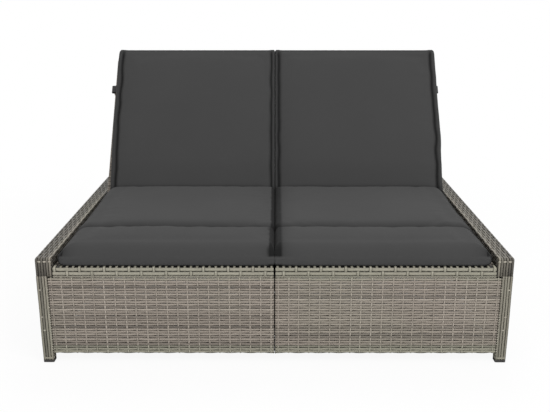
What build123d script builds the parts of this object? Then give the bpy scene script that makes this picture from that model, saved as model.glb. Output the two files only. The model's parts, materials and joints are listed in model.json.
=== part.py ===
from build123d import *
from math import cos, pi, sin
import os

# Double chaise lounger. Millimetres, +Z up, origin on the floor at the middle of the
# footprint. The foot end faces -Y, the head end +Y. "left" and "right" are as seen by
# someone who stands at the foot end and looks along +Y, so left is -X.

# Overall sizes
overall_width = 1400.0
overall_length = 1520.0
seat_top_height = 304.0
arm_rise = 27.0                # the woven arms stand this far above the seat decks
back_bay_length = 750.0        # rear face to the backrests' hinge axis

# Woven panels: a ring of square steel tube with a plastic weave wrapped round it
tube_size = 25.0
tube_wall = 1.5
weave_thickness = 3.5
weave_lip = 25.0               # how far the weave comes back over the tube behind
panel_edge_radius = 3.0
panel_bottom_height = 28.0     # floor to the bottom of the side, front and rear panels
seam_half_gap = 0.8            # half of the dark seam between the two halves
vent_radius = 2.5              # drain hole in each closed ring of tube

# Arms
arm_width = 48.0
arm_depth = 58.0               # height of the woven arm above the side panel
arm_edge_radius = 5.0

# Feet
foot_height = 8.0
foot_plug_height = 14.0
foot_corner_radius = 4.0

# Seat decks
deck_side_clearance = 2.0      # deck edge to the arm
deck_half_gap = 6.0            # deck edge to the middle of the lounger
deck_rear_clearance = 2.0      # deck edge to the swinging backrest
deck_cross_tubes = 2

# Centre beam and its legs
beam_width = 60.0
beam_depth = 40.0
beam_plate_thickness = 4.0
beam_plate_drop = 36.0         # how far the end plate reaches below the beam
front_leg_setback = 310.0      # front face to the first leg under the beam
front_carrier_setback = 345.0  # hinge axis to the first carrier of the racks
rear_carrier_inset = 43.0      # rear panel to the second carrier

# Side frame uprights between the corner legs
seat_upright_setback = 380.0   # front face to the upright under the seat
hinge_upright_lead = 30.0      # the hinge's upright stands this far in front of its axis

# Ledgers that carry the outer edges of the decks
ledger_width = 40.0
ledger_depth = 28.0
ledger_thickness = 3.0

# Backrests
back_tilt = 50.5               # degrees above flat, as the photo shows it
flat_strap_clearance = 1.0     # strap to the ledger under it when the backrest is flat
back_side_clearance = 14.0     # backrest to the arm
back_half_gap = 5.0            # backrest to the middle of the lounger
back_end_clearance = 63.0      # top of the flat backrest to the rear panel
upper_cross_share = 0.582      # place of the second cross tube above the stay's

# Hinges
pin_radius = 5.0
pin_clearance = 0.05
bush_flange_radius = 15.0
bush_flange_thickness = 1.2
bush_length = 25.0
boss_radius = 9.0
boss_end_gap = 0.8
hinge_plate_thickness = 4.0
hinge_plate_edge = 12.0
lug_thickness = 4.0
lug_length = 40.0

# Stay: one bent steel rod whose foot drops into the racks
rod_radius = 5.0
rod_bend_radius = 9.0
stay_pivot_distance = 300.0    # hinge axis to the stay's pivot, along the backrest
stay_pivot_drop = 30.0         # the pivot lies this far behind the middle of the panel
stay_foot_distance = 410.8     # hinge axis to the stay's foot, along the floor
stay_foot_drop = 89.0          # the foot lies this far below the hinge axis
stay_inner_inset = 125.0       # inner side of the backrest to the stay's arm
stay_outer_inset = 128.0       # outer side of the backrest to the stay's arm
stay_stub_length = 22.0
ear_thickness = 4.0
ear_inset = 14.0               # stay arm's middle to the near face of its ear
ear_width = 28.0

# Racks
rack_thickness = 4.0
rack_foot_width = 22.0
rack_foot_thickness = 3.0
rack_inset = 26.0              # stay arm's middle to the rack
rack_pitch = 55.0
rack_end_land = 40.0           # last notch's middle to the end of the rack, at least
rack_tooth_height = 19.7       # carrier to the tooth tips
rack_notch_depth = 9.0
rack_notch_width = 16.0
rack_hook_height = 12.0        # the last notch's front wall above the tooth tips
rod_clearance = 0.3

# Fasteners
bolt_radius = 3.0
bolt_hole_clearance = 0.2
bolt_head_radius = 5.7
bolt_head_height = 4.0
nut_height = 5.0
screw_length = 15.0
lower_bolt_inset = 52.0        # bottom of the panels to the lower bolts
upper_bolt_inset = 53.0        # top of the side panels to the upper bolts
ledger_bolt_drop = 12.0        # below the ledger's flat leg
deck_screw_inset = 14.0        # deck edge to its screws
front_screw_setback = 160.0    # front face to the deck's first screws
rear_screw_setback = 210.0     # hinge axis to the deck's last screws
beam_bolt_lift = 16.0          # above the bottom of the beam's end plate
hinge_screw_pitch = 20.0       # hinge axis to the first screw, and on to the second

# Cushions
seat_thickness = 57.0          # at the top seam
seat_crown = 10.0
cushion_side_clearance = 12.0  # seat cushion to the arm
seat_cushion_inner_x = 16.0
seat_cushion_lift = 0.3
cushion_front_setback = 19.0   # front panel's face to the cushion's front face
foot_section_reach = 240.0     # front panel's face to the fold behind the foot section
fold_half_gap = 0.3
back_fold_gap = 6.0            # seat section to the back section's bulging face
back_cushion_start = 10.0      # hinge axis to the end of the back section
back_cushion_overhang = 18.0   # the back section reaches this far above the backrest
back_thickness = 54.0
back_crown = 8.0
back_cushion_inner_x = 5.4
outer_shoulder = 33.0          # side bulge to the top seam, outer side
inner_shoulder = 15.0
outer_tuck = 16.0              # side bulge to the bottom seam, outer side
inner_tuck = 10.0
side_draw_in = 4.0             # the sides pull in by this much between the corners
end_inset = 12.0               # the ends are narrower than the corners by this much
end_round = 30.0               # length over which each end rounds over
end_steps = 4
middle_steps = 4
bulge_height_share = 0.45
end_height_share = 0.5

# Straps that hold the back cushions
strap_top_inset = 135.0        # top of the backrest to the strap's middle
strap_width = 30.0
strap_thickness = 1.7
strap_arm_gap = 1.0
strap_side_gap = 0.3

# Places worked out from the sizes above
half_width = overall_width / 2
half_length = overall_length / 2
arm_height = seat_top_height + arm_rise
panel_thickness = tube_size + 2 * weave_thickness
half_panel = panel_thickness / 2
half_tube = tube_size / 2
panel_top = arm_height - arm_depth
arm_inner_x = half_width - arm_width
side_inner_x = half_width - panel_thickness
end_inner_y = half_length - panel_thickness
end_middle_y = half_length - half_panel
leg_middle_x = half_width - half_panel
tube_outer_x = half_width - weave_thickness
tube_inner_x = tube_outer_x - tube_size
deck_bottom = seat_top_height - panel_thickness
strap_back_reach = strap_side_gap + strap_thickness
hinge_y = half_length - back_bay_length
hinge_z = seat_top_height - half_panel + strap_back_reach + flat_strap_clearance
back_half_width = arm_inner_x - back_side_clearance
back_length = end_inner_y - back_end_clearance - hinge_y
deck_rear_y = hinge_y - half_panel - deck_rear_clearance
beam_bottom = deck_bottom - beam_depth
stay_foot_y = hinge_y + stay_foot_distance
stay_foot_z = hinge_z - stay_foot_drop
stay_arm_inner_x = back_half_gap + stay_inner_inset
stay_arm_outer_x = back_half_width - stay_outer_inset
tooth_tip_z = stay_foot_z - rod_radius - rod_clearance
carrier_top_height = tooth_tip_z - rack_tooth_height
carrier_middle_z = carrier_top_height - half_tube
front_carrier_y = hinge_y + front_carrier_setback
rear_carrier_y = end_inner_y - rear_carrier_inset
front_leg_y = front_leg_setback - half_length
upright_places = (seat_upright_setback - half_length, hinge_y - hinge_upright_lead,
                  front_carrier_y, rear_carrier_y)
deck_screw_places = (front_screw_setback - half_length, hinge_y - rear_screw_setback)
bolt_heights = (panel_bottom_height + lower_bolt_inset, panel_top - upper_bolt_inset)
hole_radius = bolt_radius + bolt_hole_clearance
overrun = tube_size            # how far cutting shapes run past what they cut
back_tube_inner_x = back_half_gap + weave_thickness
back_tube_outer_x = back_half_width - weave_thickness
back_tube_top = back_length - weave_thickness
upper_cross_rise = (back_tube_top - tube_size - stay_pivot_distance) * upper_cross_share
cushion_outer_x = arm_inner_x - cushion_side_clearance
fold_y = foot_section_reach - half_length
pin_hole_radius = pin_radius + pin_clearance
ledger_bolt_z = deck_bottom - ledger_thickness - ledger_bolt_drop
deck_outer_x = arm_inner_x - deck_side_clearance
deck_screw_x = deck_outer_x - deck_screw_inset
beam_plate_bottom = beam_bottom - beam_plate_drop
beam_bolt_x = seam_half_gap + half_panel
beam_bolt_z = beam_plate_bottom + beam_bolt_lift
corner_head_x = side_inner_x - weave_thickness - tube_size

backrest_at_rest = Pos(0, hinge_y, hinge_z) * Rot(X=back_tilt)


def block(x0, x1, y0, y1, z0, z1):
    middle = ((x0 + x1) / 2, (y0 + y1) / 2, (z0 + z1) / 2)
    return Pos(*middle) * Box(abs(x1 - x0), abs(y1 - y0), abs(z1 - z0))


def rod_x(x0, x1, y, z, radius):
    return Pos((x0 + x1) / 2, y, z) * Rot(Y=90) * Cylinder(radius, abs(x1 - x0))


def rod_y(x, y0, y1, z, radius):
    return Pos(x, (y0 + y1) / 2, z) * Rot(X=90) * Cylinder(radius, abs(y1 - y0))


def rod_z(x, y, z0, z1, radius):
    return Pos(x, y, (z0 + z1) / 2) * Cylinder(radius, abs(z1 - z0))


def tube_x(x0, x1, y, z):
    outer = block(x0, x1, y - half_tube, y + half_tube, z - half_tube, z + half_tube)
    bore = half_tube - tube_wall
    return outer - block(x0, x1, y - bore, y + bore, z - bore, z + bore)


def other_side(shape):
    return mirror(shape, about=Plane.YZ)


def both_ends(shape):
    return [shape, mirror(shape, about=Plane.XZ)]


def shrunk(outline, amount):
    return offset(outline, amount=-amount, kind=Kind.INTERSECTION)


def layer(outline, low, high):
    # An outline drawn in the XY plane, as a plate from low to high.
    return Pos(0, 0, low) * extrude(outline, high - low)


def rectangle(x0, x1, y0, y1):
    return Pos((x0 + x1) / 2, (y0 + y1) / 2) * Rectangle(abs(x1 - x0), abs(y1 - y0))


def outer_corners(sheet):
    # The upright edges at the corners, without the inside corner of a notch.
    box = sheet.bounding_box()
    corners = []
    for edge in sheet.edges().filter_by(Axis.Z):
        middle = edge.center()
        on_side = min(middle.X - box.min.X, box.max.X - middle.X) < weave_thickness
        on_end = min(middle.Y - box.min.Y, box.max.Y - middle.Y) < weave_thickness
        if on_side or on_end:
            corners.append(edge)
    return corners


# Woven panels lie flat while they are made: their face is up, their open back is down.
def woven_skin(outline):
    sheet = layer(outline, -half_panel, half_panel)
    sheet = fillet(outer_corners(sheet), panel_edge_radius)
    pocket = layer(shrunk(outline, weave_thickness), -half_tube, half_tube)
    window = layer(shrunk(outline, weave_thickness + weave_lip), -half_panel - overrun, 0)
    return sheet - pocket - window


def tube_ring(outline, bars):
    outer = shrunk(outline, weave_thickness)
    inner = shrunk(outline, weave_thickness + tube_size)
    wide = shrunk(outline, weave_thickness + tube_wall)
    narrow = shrunk(outline, weave_thickness + tube_size - tube_wall)
    ring = layer(outer - inner, -half_tube, half_tube)
    bore = layer(wide - narrow, -half_tube + tube_wall, half_tube - tube_wall)
    for bar in bars:
        ring += layer(bar, -half_tube, half_tube)
        bore += layer(shrunk(bar, tube_wall), -half_tube + tube_wall, half_tube - tube_wall)
    low_corner = outer.bounding_box().min
    vent_x = low_corner.X + half_tube
    vent_y = low_corner.Y + tube_size
    vent = rod_z(vent_x, vent_y, -half_panel, 0, vent_radius)
    return ring - bore - vent


# Screw holes. Each row of bolts has one list of places, and every piece that the bolts
# pass through is cut at those places.
def corner_bolt_holes():
    holes = []
    for z in bolt_heights:
        holes.append(rod_x(corner_head_x - overrun, leg_middle_x, -end_middle_y, z, hole_radius))
        holes.append(rod_x(corner_head_x - overrun, leg_middle_x, end_middle_y, z, hole_radius))
    return holes


def centre_bolt_holes():
    holes = []
    for z in bolt_heights:
        holes.append(rod_x(-overrun, 2 * overrun, -end_middle_y, z, hole_radius))
    return holes


def beam_bolt_holes():
    reach = end_middle_y
    return [rod_y(beam_bolt_x, -reach, -end_inner_y + overrun, beam_bolt_z, hole_radius)]


def ledger_bolt_holes():
    holes = []
    for y in upright_places:
        holes.append(rod_x(side_inner_x - overrun, leg_middle_x, y, ledger_bolt_z, hole_radius))
    return holes


def deck_screw_holes():
    holes = []
    for y in deck_screw_places:
        top = deck_bottom + half_panel
        holes.append(rod_z(deck_screw_x, y, deck_bottom - overrun, top, hole_radius))
    return holes


def hinge_screw_places():
    # Both screws are behind the hinge axis, clear of the deck in front of it.
    return [hinge_y + hinge_screw_pitch, hinge_y + 2 * hinge_screw_pitch]


def hinge_screw_holes():
    holes = []
    for y in hinge_screw_places():
        holes.append(rod_x(arm_inner_x - overrun, leg_middle_x, y, hinge_z, hole_radius))
    return holes


def rack_bolt_places():
    # Each rack has one bolt over each carrier, beside its upright plate.
    beside = rack_thickness + (rack_foot_width - rack_thickness) / 2
    places = []
    for x in (stay_arm_inner_x + rack_inset + beside, stay_arm_outer_x - rack_inset - beside):
        for y in (front_carrier_y, rear_carrier_y):
            places.append((x, y))
    return places


def rack_bolt_holes():
    holes = []
    for x, y in rack_bolt_places():
        low = carrier_middle_z
        holes.append(rod_z(x, y, low, carrier_top_height + overrun, hole_radius))
    return holes


# Side frames, arms and legs
def side_upright(y, bottom, inset, top):
    reach = half_tube - inset
    return block(tube_inner_x + inset, tube_outer_x - inset, y - reach, y + reach, bottom, top)


def arm_rail(inset):
    gap = weave_thickness + inset
    reach = half_length - gap
    return block(arm_inner_x + gap, half_width - gap, -reach, reach, panel_top + gap,
                 arm_height - gap)


def bottom_rail(inset):
    low = panel_bottom_height + weave_thickness
    return block(tube_inner_x + inset, tube_outer_x - inset, -end_middle_y, end_middle_y,
                 low + inset, low + tube_size - inset)


def side_frame_shape(inset, leg_bottom):
    shape = arm_rail(inset) + bottom_rail(inset)
    top = panel_top + weave_thickness + inset
    for y in (-end_middle_y, end_middle_y):
        shape += side_upright(y, leg_bottom, inset, top)
    for y in upright_places:
        shape += side_upright(y, panel_bottom_height + weave_thickness + inset, inset, top)
    return shape


def side_frame(envelope):
    bore = side_frame_shape(tube_wall, 0)
    frame = envelope - bore
    return frame - corner_bolt_holes() - ledger_bolt_holes() - hinge_screw_holes()


def arm_weave(envelope):
    sleeve = block(arm_inner_x, half_width, -half_length, half_length, panel_top, arm_height)
    long_edges = sleeve.edges().filter_by(Axis.Y).group_by(Axis.Z)[-1]
    sleeve = fillet(long_edges, arm_edge_radius)
    return sleeve - envelope - hinge_screw_holes()


def side_weave(envelope):
    # The panel stands between the two leg sleeves, with its open back to the inside.
    outline = rectangle(-end_inner_y, end_inner_y, panel_bottom_height, panel_top)
    standing = Plane(origin=(leg_middle_x, 0, 0), x_dir=(0, 1, 0), z_dir=(1, 0, 0))
    skin = standing.location * woven_skin(outline)
    return skin - envelope - ledger_bolt_holes()


def leg_weave(envelope):
    sleeve = block(side_inner_x, half_width, end_inner_y, half_length, foot_height, panel_top)
    sleeve = fillet(sleeve.edges().filter_by(Axis.Z), panel_edge_radius)
    sleeves = []
    for leg in both_ends(sleeve):
        sleeves.append(leg - envelope - corner_bolt_holes())
    return Compound(children=sleeves)


def foot(x, y):
    pad = block(x - half_panel, x + half_panel, y - half_panel, y + half_panel, 0, foot_height)
    pad = fillet(pad.edges().filter_by(Axis.Z), foot_corner_radius)
    reach = half_tube - tube_wall
    plug = block(x - reach, x + reach, y - reach, y + reach, 0, foot_height + foot_plug_height)
    return pad + plug


def corner_feet():
    feet = []
    for x in (-leg_middle_x, leg_middle_x):
        for y in (-end_middle_y, end_middle_y):
            feet.append(foot(x, y))
    return Compound(children=feet)


# Front and rear panels: each is a left and a right half
def end_outline():
    low = rectangle(seam_half_gap, side_inner_x, panel_bottom_height, panel_top)
    high = rectangle(seam_half_gap, arm_inner_x, panel_top - overrun, seat_top_height)
    return low + high


def front_place():
    return Plane(origin=(0, -end_middle_y, 0), x_dir=(1, 0, 0), z_dir=(0, -1, 0)).location


def front_cuts(shape):
    return shape - corner_bolt_holes() - centre_bolt_holes() - beam_bolt_holes()


def front_frame():
    return front_cuts(front_place() * tube_ring(end_outline(), []))


def front_weave():
    return front_cuts(front_place() * woven_skin(end_outline()))


# Seat decks
def deck_outline():
    return rectangle(deck_half_gap, deck_outer_x, -end_inner_y, deck_rear_y)


def deck_bars():
    low_x = deck_half_gap + weave_thickness
    high_x = deck_outer_x - weave_thickness
    bay = (deck_rear_y + end_inner_y) / (deck_cross_tubes + 1)
    bars = []
    for count in range(deck_cross_tubes):
        y = -end_inner_y + bay * (count + 1)
        bars.append(rectangle(low_x, high_x, y - half_tube, y + half_tube))
    return bars


def deck_place():
    return Pos(0, 0, seat_top_height - half_panel)


def seat_frame():
    return (deck_place() * tube_ring(deck_outline(), deck_bars())) - deck_screw_holes()


def seat_weave():
    return (deck_place() * woven_skin(deck_outline())) - deck_screw_holes()


def side_ledger():
    low = deck_bottom - ledger_depth
    flat_low = deck_bottom - ledger_thickness
    flat = block(side_inner_x - ledger_width, side_inner_x, -end_inner_y, end_inner_y, flat_low,
                 deck_bottom)
    upright = block(side_inner_x - ledger_thickness, side_inner_x, -end_inner_y, end_inner_y,
                    low, deck_bottom)
    return flat + upright - ledger_bolt_holes() - deck_screw_holes()


# Centre beam, its legs and the carriers of the racks
def centre_beam():
    reach = end_inner_y - beam_plate_thickness
    half_beam = beam_width / 2
    inside = half_beam - tube_wall
    beam = block(-half_beam, half_beam, -reach, reach, beam_bottom, deck_bottom)
    beam -= block(-inside, inside, -reach, reach, beam_bottom + tube_wall, deck_bottom - tube_wall)
    plate = block(-half_beam, half_beam, reach, end_inner_y, beam_plate_bottom, deck_bottom)
    for end in both_ends(plate):
        beam += end
    lug_reach = lug_length / 2
    lug = block(-lug_thickness / 2, lug_thickness / 2, hinge_y - lug_reach, hinge_y + lug_reach,
                deck_bottom, hinge_z)
    lug += rod_x(-lug_thickness / 2, lug_thickness / 2, hinge_y, hinge_z, half_panel)
    beam += lug
    beam -= rod_x(-lug_thickness, lug_thickness, hinge_y, hinge_z, pin_hole_radius)
    for hole in beam_bolt_holes():
        for end in both_ends(hole):
            beam = beam - end - other_side(end)
    beam -= rod_z(0, 0, beam_bottom - overrun, beam_bottom + tube_size, vent_radius)
    return beam


def centre_leg(y):
    outer = block(-half_tube, half_tube, y - half_tube, y + half_tube, foot_height, beam_bottom)
    reach = half_tube - tube_wall
    return outer - block(-reach, reach, y - reach, y + reach, foot_height, beam_bottom)


def centre_leg_places():
    return (front_leg_y, front_carrier_y, rear_carrier_y)


def centre_legs():
    return Compound(children=[centre_leg(y) for y in centre_leg_places()])


def centre_feet():
    return Compound(children=[foot(0, y) for y in centre_leg_places()])


def rack_carriers():
    carriers = []
    for y in (front_carrier_y, rear_carrier_y):
        carrier = tube_x(half_tube, tube_inner_x, y, carrier_middle_z) - rack_bolt_holes()
        carriers.append(carrier)
        carriers.append(other_side(carrier))
    return Compound(children=carriers)


# Backrests. They are made lying flat with the hinge axis as X, the slope as Y and the
# face up, and are then tilted to where the photo shows them.
def back_frame_shape(inset):
    reach = half_tube - inset
    low = half_tube if inset else 0
    inner_x = back_tube_inner_x
    outer_x = back_tube_outer_x
    top = back_tube_top
    shape = block(inner_x + inset, inner_x + tube_size - inset, low, top - inset, -reach, reach)
    shape += block(outer_x - tube_size + inset, outer_x - inset, low, top - inset, -reach, reach)
    shape += block(inner_x + inset, outer_x - inset, top - tube_size + inset, top - inset,
                   -reach, reach)
    for y in (stay_pivot_distance, stay_pivot_distance + upper_cross_rise):
        shape += block(inner_x + inset, outer_x - inset, y - reach, y + reach, -reach, reach)
    shape += rod_x(inner_x, outer_x, 0, 0, reach)
    return shape


def back_frame():
    vent_x = back_tube_inner_x + half_tube
    vent_y = back_tube_top - half_tube
    vent = rod_z(vent_x, vent_y, -half_panel, 0, vent_radius)
    return back_frame_shape(0) - back_frame_shape(tube_wall) - vent


def back_weave():
    sheet = block(back_half_gap, back_half_width, 0, back_length, -half_panel, half_panel)
    top_corners = sheet.edges().filter_by(Axis.Z).group_by(Axis.Y)[-1]
    sheet = fillet(top_corners, panel_edge_radius)
    sheet += rod_x(back_half_gap, back_half_width, 0, 0, half_panel)
    sheet -= block(back_tube_inner_x, back_tube_outer_x, 0, back_tube_top, -half_tube, half_tube)
    sheet -= rod_x(back_tube_inner_x, back_tube_outer_x, 0, 0, half_tube)
    sheet -= block(back_tube_inner_x + weave_lip, back_tube_outer_x - weave_lip, weave_lip,
                   back_tube_top - weave_lip, -half_panel - overrun, 0)
    bush_radius = half_tube - tube_wall
    sheet -= rod_x(0, back_half_width + overrun, 0, 0, bush_radius)
    return sheet


def hinge_bushes():
    bush_radius = half_tube - tube_wall
    bushes = []
    for face, step in ((back_half_gap, 1), (back_half_width, -1)):
        bush = rod_x(face, face + step * bush_length, 0, 0, bush_radius)
        bush += rod_x(face, face - step * bush_flange_thickness, 0, 0, bush_flange_radius)
        bush -= rod_x(face - step * overrun, face + step * 2 * overrun, 0, 0, pin_hole_radius)
        bushes.append(bush)
    return Compound(children=bushes)


def stay_ears():
    reach = ear_width / 2
    ears = []
    for x in (stay_arm_inner_x - ear_inset - ear_thickness, stay_arm_outer_x + ear_inset):
        ear = block(x, x + ear_thickness, stay_pivot_distance - reach,
                    stay_pivot_distance + reach, -stay_pivot_drop, -half_tube)
        ear += rod_x(x, x + ear_thickness, stay_pivot_distance, -stay_pivot_drop, reach)
        ear -= rod_x(x - overrun, x + overrun, stay_pivot_distance, -stay_pivot_drop,
                     pin_hole_radius)
        ears.append(ear)
    return Compound(children=ears)


# Hinges
def hinge_bracket():
    face = arm_inner_x - hinge_plate_thickness
    finish = hinge_screw_places()[-1] + hinge_plate_edge
    plate = block(face, arm_inner_x, hinge_y - hinge_plate_edge, finish,
                  hinge_z - hinge_plate_edge, hinge_z + hinge_plate_edge)
    boss_x = back_half_width + bush_flange_thickness + boss_end_gap
    plate += rod_x(boss_x, arm_inner_x, hinge_y, hinge_z, boss_radius)
    plate -= rod_x(boss_x - overrun, half_width, hinge_y, hinge_z, pin_hole_radius)
    return plate - hinge_screw_holes()


def hinge_pins():
    inner_end = back_half_width - bush_length
    outer = rod_x(inner_end, arm_inner_x, hinge_y, hinge_z, pin_radius)
    centre_reach = back_half_gap + bush_length
    centre = rod_x(-centre_reach, centre_reach, hinge_y, hinge_z, pin_radius)
    return Compound(children=[other_side(outer), centre, outer])


# Stays and racks
def stay_lean():
    # From the stay's pivot to its foot on the rack.
    pivot = backrest_at_rest * Pos(0, stay_pivot_distance, -stay_pivot_drop)
    return Vector(0, stay_foot_y, stay_foot_z) - pivot.position


def stay_fold():
    # Angle between the backrest and its stay when the stay's foot is on the rack.
    return back_tilt + stay_lean().get_angle(Vector(0, 1, 0))


def stay():
    stay_length = stay_lean().length
    low = stay_arm_inner_x
    high = stay_arm_outer_x
    route = FilletPolyline(
        (low - stay_stub_length, 0, 0), (low, 0, 0), (low, stay_length, 0),
        (high, stay_length, 0), (high, 0, 0), (high + stay_stub_length, 0, 0),
        radius=rod_bend_radius)
    section = Plane(origin=route @ 0, z_dir=route % 0) * Circle(rod_radius)
    rod = sweep(section, path=route)
    pivot = Pos(0, stay_pivot_distance, -stay_pivot_drop)
    return backrest_at_rest * pivot * Rot(X=-stay_fold()) * rod


def rack_outline():
    start = front_carrier_y - half_tube
    finish = rear_carrier_y + half_tube
    grip = rod_radius + rod_clearance
    floor = tooth_tip_z - rack_notch_depth
    hook_y = stay_foot_y - grip
    hook_top = tooth_tip_z + rack_hook_height
    points = [(start, carrier_top_height), (start, tooth_tip_z)]
    points += [(hook_y - rack_notch_width, tooth_tip_z), (hook_y - rack_notch_width, hook_top)]
    points += [(hook_y, hook_top), (hook_y, floor)]
    notches = int((finish - rack_end_land - stay_foot_y) / rack_pitch) + 1
    for count in range(notches):
        middle = stay_foot_y + count * rack_pitch
        if count > 0:
            points += [(middle + grip - rack_notch_width, tooth_tip_z), (middle - grip, floor)]
        points += [(middle + grip, floor), (middle + grip, tooth_tip_z)]
    points += [(finish, tooth_tip_z), (finish, carrier_top_height)]
    return points


def rack_pair():
    standing = Plane(origin=(0, 0, 0), x_dir=(0, 1, 0), z_dir=(1, 0, 0)).location
    profile = make_face(Polyline(*rack_outline(), close=True))
    plate = standing * extrude(profile, rack_thickness)
    start = front_carrier_y - half_tube
    finish = rear_carrier_y + half_tube
    flange_top = carrier_top_height + rack_foot_thickness
    flange = block(0, rack_foot_width, start, finish, carrier_top_height, flange_top)
    rack = plate + flange
    inner = Pos(stay_arm_inner_x + rack_inset, 0, 0) * rack - rack_bolt_holes()
    outer = Pos(stay_arm_outer_x - rack_inset, 0, 0) * other_side(rack) - rack_bolt_holes()
    return Compound(children=[inner, outer])


# Fasteners
def bolt(length):
    # The head stands on the XY plane and the shank hangs below it.
    head = extrude(RegularPolygon(bolt_head_radius, 6), bolt_head_height)
    return head + Pos(0, 0, -length / 2) * Cylinder(bolt_radius, length)


def nut():
    blank = extrude(RegularPolygon(bolt_head_radius, 6), nut_height)
    return blank - Cylinder(bolt_radius, 3 * nut_height)


def all_corners(shape):
    corners = []
    for end in both_ends(shape):
        corners += [end, other_side(end)]
    return corners


def corner_bolts():
    nut_x = tube_inner_x + tube_wall
    length = nut_x + nut_height - corner_head_x
    bolts = []
    for z in bolt_heights:
        place = Pos(corner_head_x, end_middle_y, z) * Rot(Y=-90)
        bolts += all_corners(place * bolt(length))
    return Compound(children=bolts)


def corner_nuts():
    nuts = []
    for z in bolt_heights:
        place = Pos(tube_inner_x + tube_wall, end_middle_y, z) * Rot(Y=90)
        nuts += all_corners(place * nut())
    return Compound(children=nuts)


def centre_bolts():
    face = seam_half_gap + weave_thickness + tube_size
    bolts = []
    for z in bolt_heights:
        place = Pos(-face, end_middle_y, z) * Rot(Y=-90)
        bolts += both_ends(place * bolt(2 * face + nut_height))
    return Compound(children=bolts)


def centre_nuts():
    face = seam_half_gap + weave_thickness + tube_size
    nuts = []
    for z in bolt_heights:
        place = Pos(face, end_middle_y, z) * Rot(Y=90)
        nuts += both_ends(place * nut())
    return Compound(children=nuts)


def beam_bolts():
    face = end_inner_y - beam_plate_thickness
    place = Pos(beam_bolt_x, face, beam_bolt_z) * Rot(X=90)
    return Compound(children=all_corners(place * bolt(screw_length)))


def ledger_bolts():
    bolts = []
    for y in upright_places:
        place = Pos(side_inner_x - ledger_thickness, y, ledger_bolt_z) * Rot(Y=-90)
        one = place * bolt(screw_length)
        bolts += [one, other_side(one)]
    return Compound(children=bolts)


def deck_screws():
    screws = []
    for y in deck_screw_places:
        place = Pos(deck_screw_x, y, deck_bottom - ledger_thickness) * Rot(X=180)
        one = place * bolt(screw_length)
        screws += [one, other_side(one)]
    return Compound(children=screws)


def hinge_screws():
    screws = []
    for y in hinge_screw_places():
        place = Pos(arm_inner_x - hinge_plate_thickness, y, hinge_z) * Rot(Y=-90)
        one = place * bolt(screw_length)
        screws += [one, other_side(one)]
    return Compound(children=screws)


def rack_bolts():
    bolts = []
    for x, y in rack_bolt_places():
        one = Pos(x, y, carrier_top_height + rack_foot_thickness) * bolt(screw_length)
        bolts += [one, other_side(one)]
    return Compound(children=bolts)


# Cushions. Each section is a loft along its length: a flat underside, bulging sides that
# meet the top in a seam, and a crowned top, all smaller at the two ends.
def cushion_section(y, inner_x, outer_x, height, crown):
    low_in = (inner_x + inner_tuck, y, 0)
    low_out = (outer_x - outer_tuck, y, 0)
    side_in = (inner_x, y, height * bulge_height_share)
    side_out = (outer_x, y, height * bulge_height_share)
    top_in = (inner_x + inner_shoulder, y, height)
    top_out = (outer_x - outer_shoulder, y, height)
    middle = ((top_in[0] + top_out[0]) / 2, y, height + crown)
    return Wire([
        Line(low_in, low_out).edge(),
        ThreePointArc(low_out, side_out, top_out).edge(),
        ThreePointArc(top_out, middle, top_in).edge(),
        ThreePointArc(top_in, side_in, low_in).edge()])


def cushion(start, finish, inner_x, outer_x, height, crown):
    # Each end rounds over along a quarter of an ellipse. Between the ends the sides draw
    # in and the crown rises towards the middle along a sine.
    def rounded(end, step):
        sections = []
        for count in range(end_steps + 1):
            turn = pi / 2 * count / end_steps
            y = end + step * end_round * (1 - cos(turn))
            fill = end_height_share + (1 - end_height_share) * sin(turn)
            inset = end_inset * (1 - sin(turn))
            sections.append(cushion_section(y, inner_x + inset, outer_x - inset, height * fill,
                                            crown * fill / 2))
        return sections

    sections = rounded(start, 1)
    for count in range(1, middle_steps):
        place = count / middle_steps
        y = start + end_round + (finish - start - 2 * end_round) * place
        swell = sin(pi * place)
        draw = side_draw_in * swell
        sections.append(cushion_section(y, inner_x + draw, outer_x - draw, height,
                                        crown * (1 + swell) / 2))
    sections += rounded(finish, -1)[::-1]
    return Solid.make_loft(sections, ruled=True)


def foot_cushion():
    start = -half_length + cushion_front_setback
    lift = Pos(0, 0, seat_top_height + seat_cushion_lift)
    return lift * cushion(start, fold_y - fold_half_gap, seat_cushion_inner_x, cushion_outer_x,
                          seat_thickness, seat_crown)


def back_cushion_lead():
    # How far the tilted back section's crown comes forward of the hinge axis.
    height = half_panel + seat_cushion_lift + back_thickness + back_crown
    place = back_cushion_start + end_round
    crown = backrest_at_rest * Pos(0, place, height)
    return hinge_y - crown.position.Y


def seat_cushion():
    finish = hinge_y - back_cushion_lead() - back_fold_gap
    lift = Pos(0, 0, seat_top_height + seat_cushion_lift)
    return lift * cushion(fold_y + fold_half_gap, finish, seat_cushion_inner_x, cushion_outer_x,
                          seat_thickness, seat_crown)


def back_cushion():
    lift = Pos(0, 0, half_panel + seat_cushion_lift)
    finish = back_length + back_cushion_overhang
    return lift * cushion(back_cushion_start, finish, back_cushion_inner_x, back_half_width,
                          back_thickness, back_crown)


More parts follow.
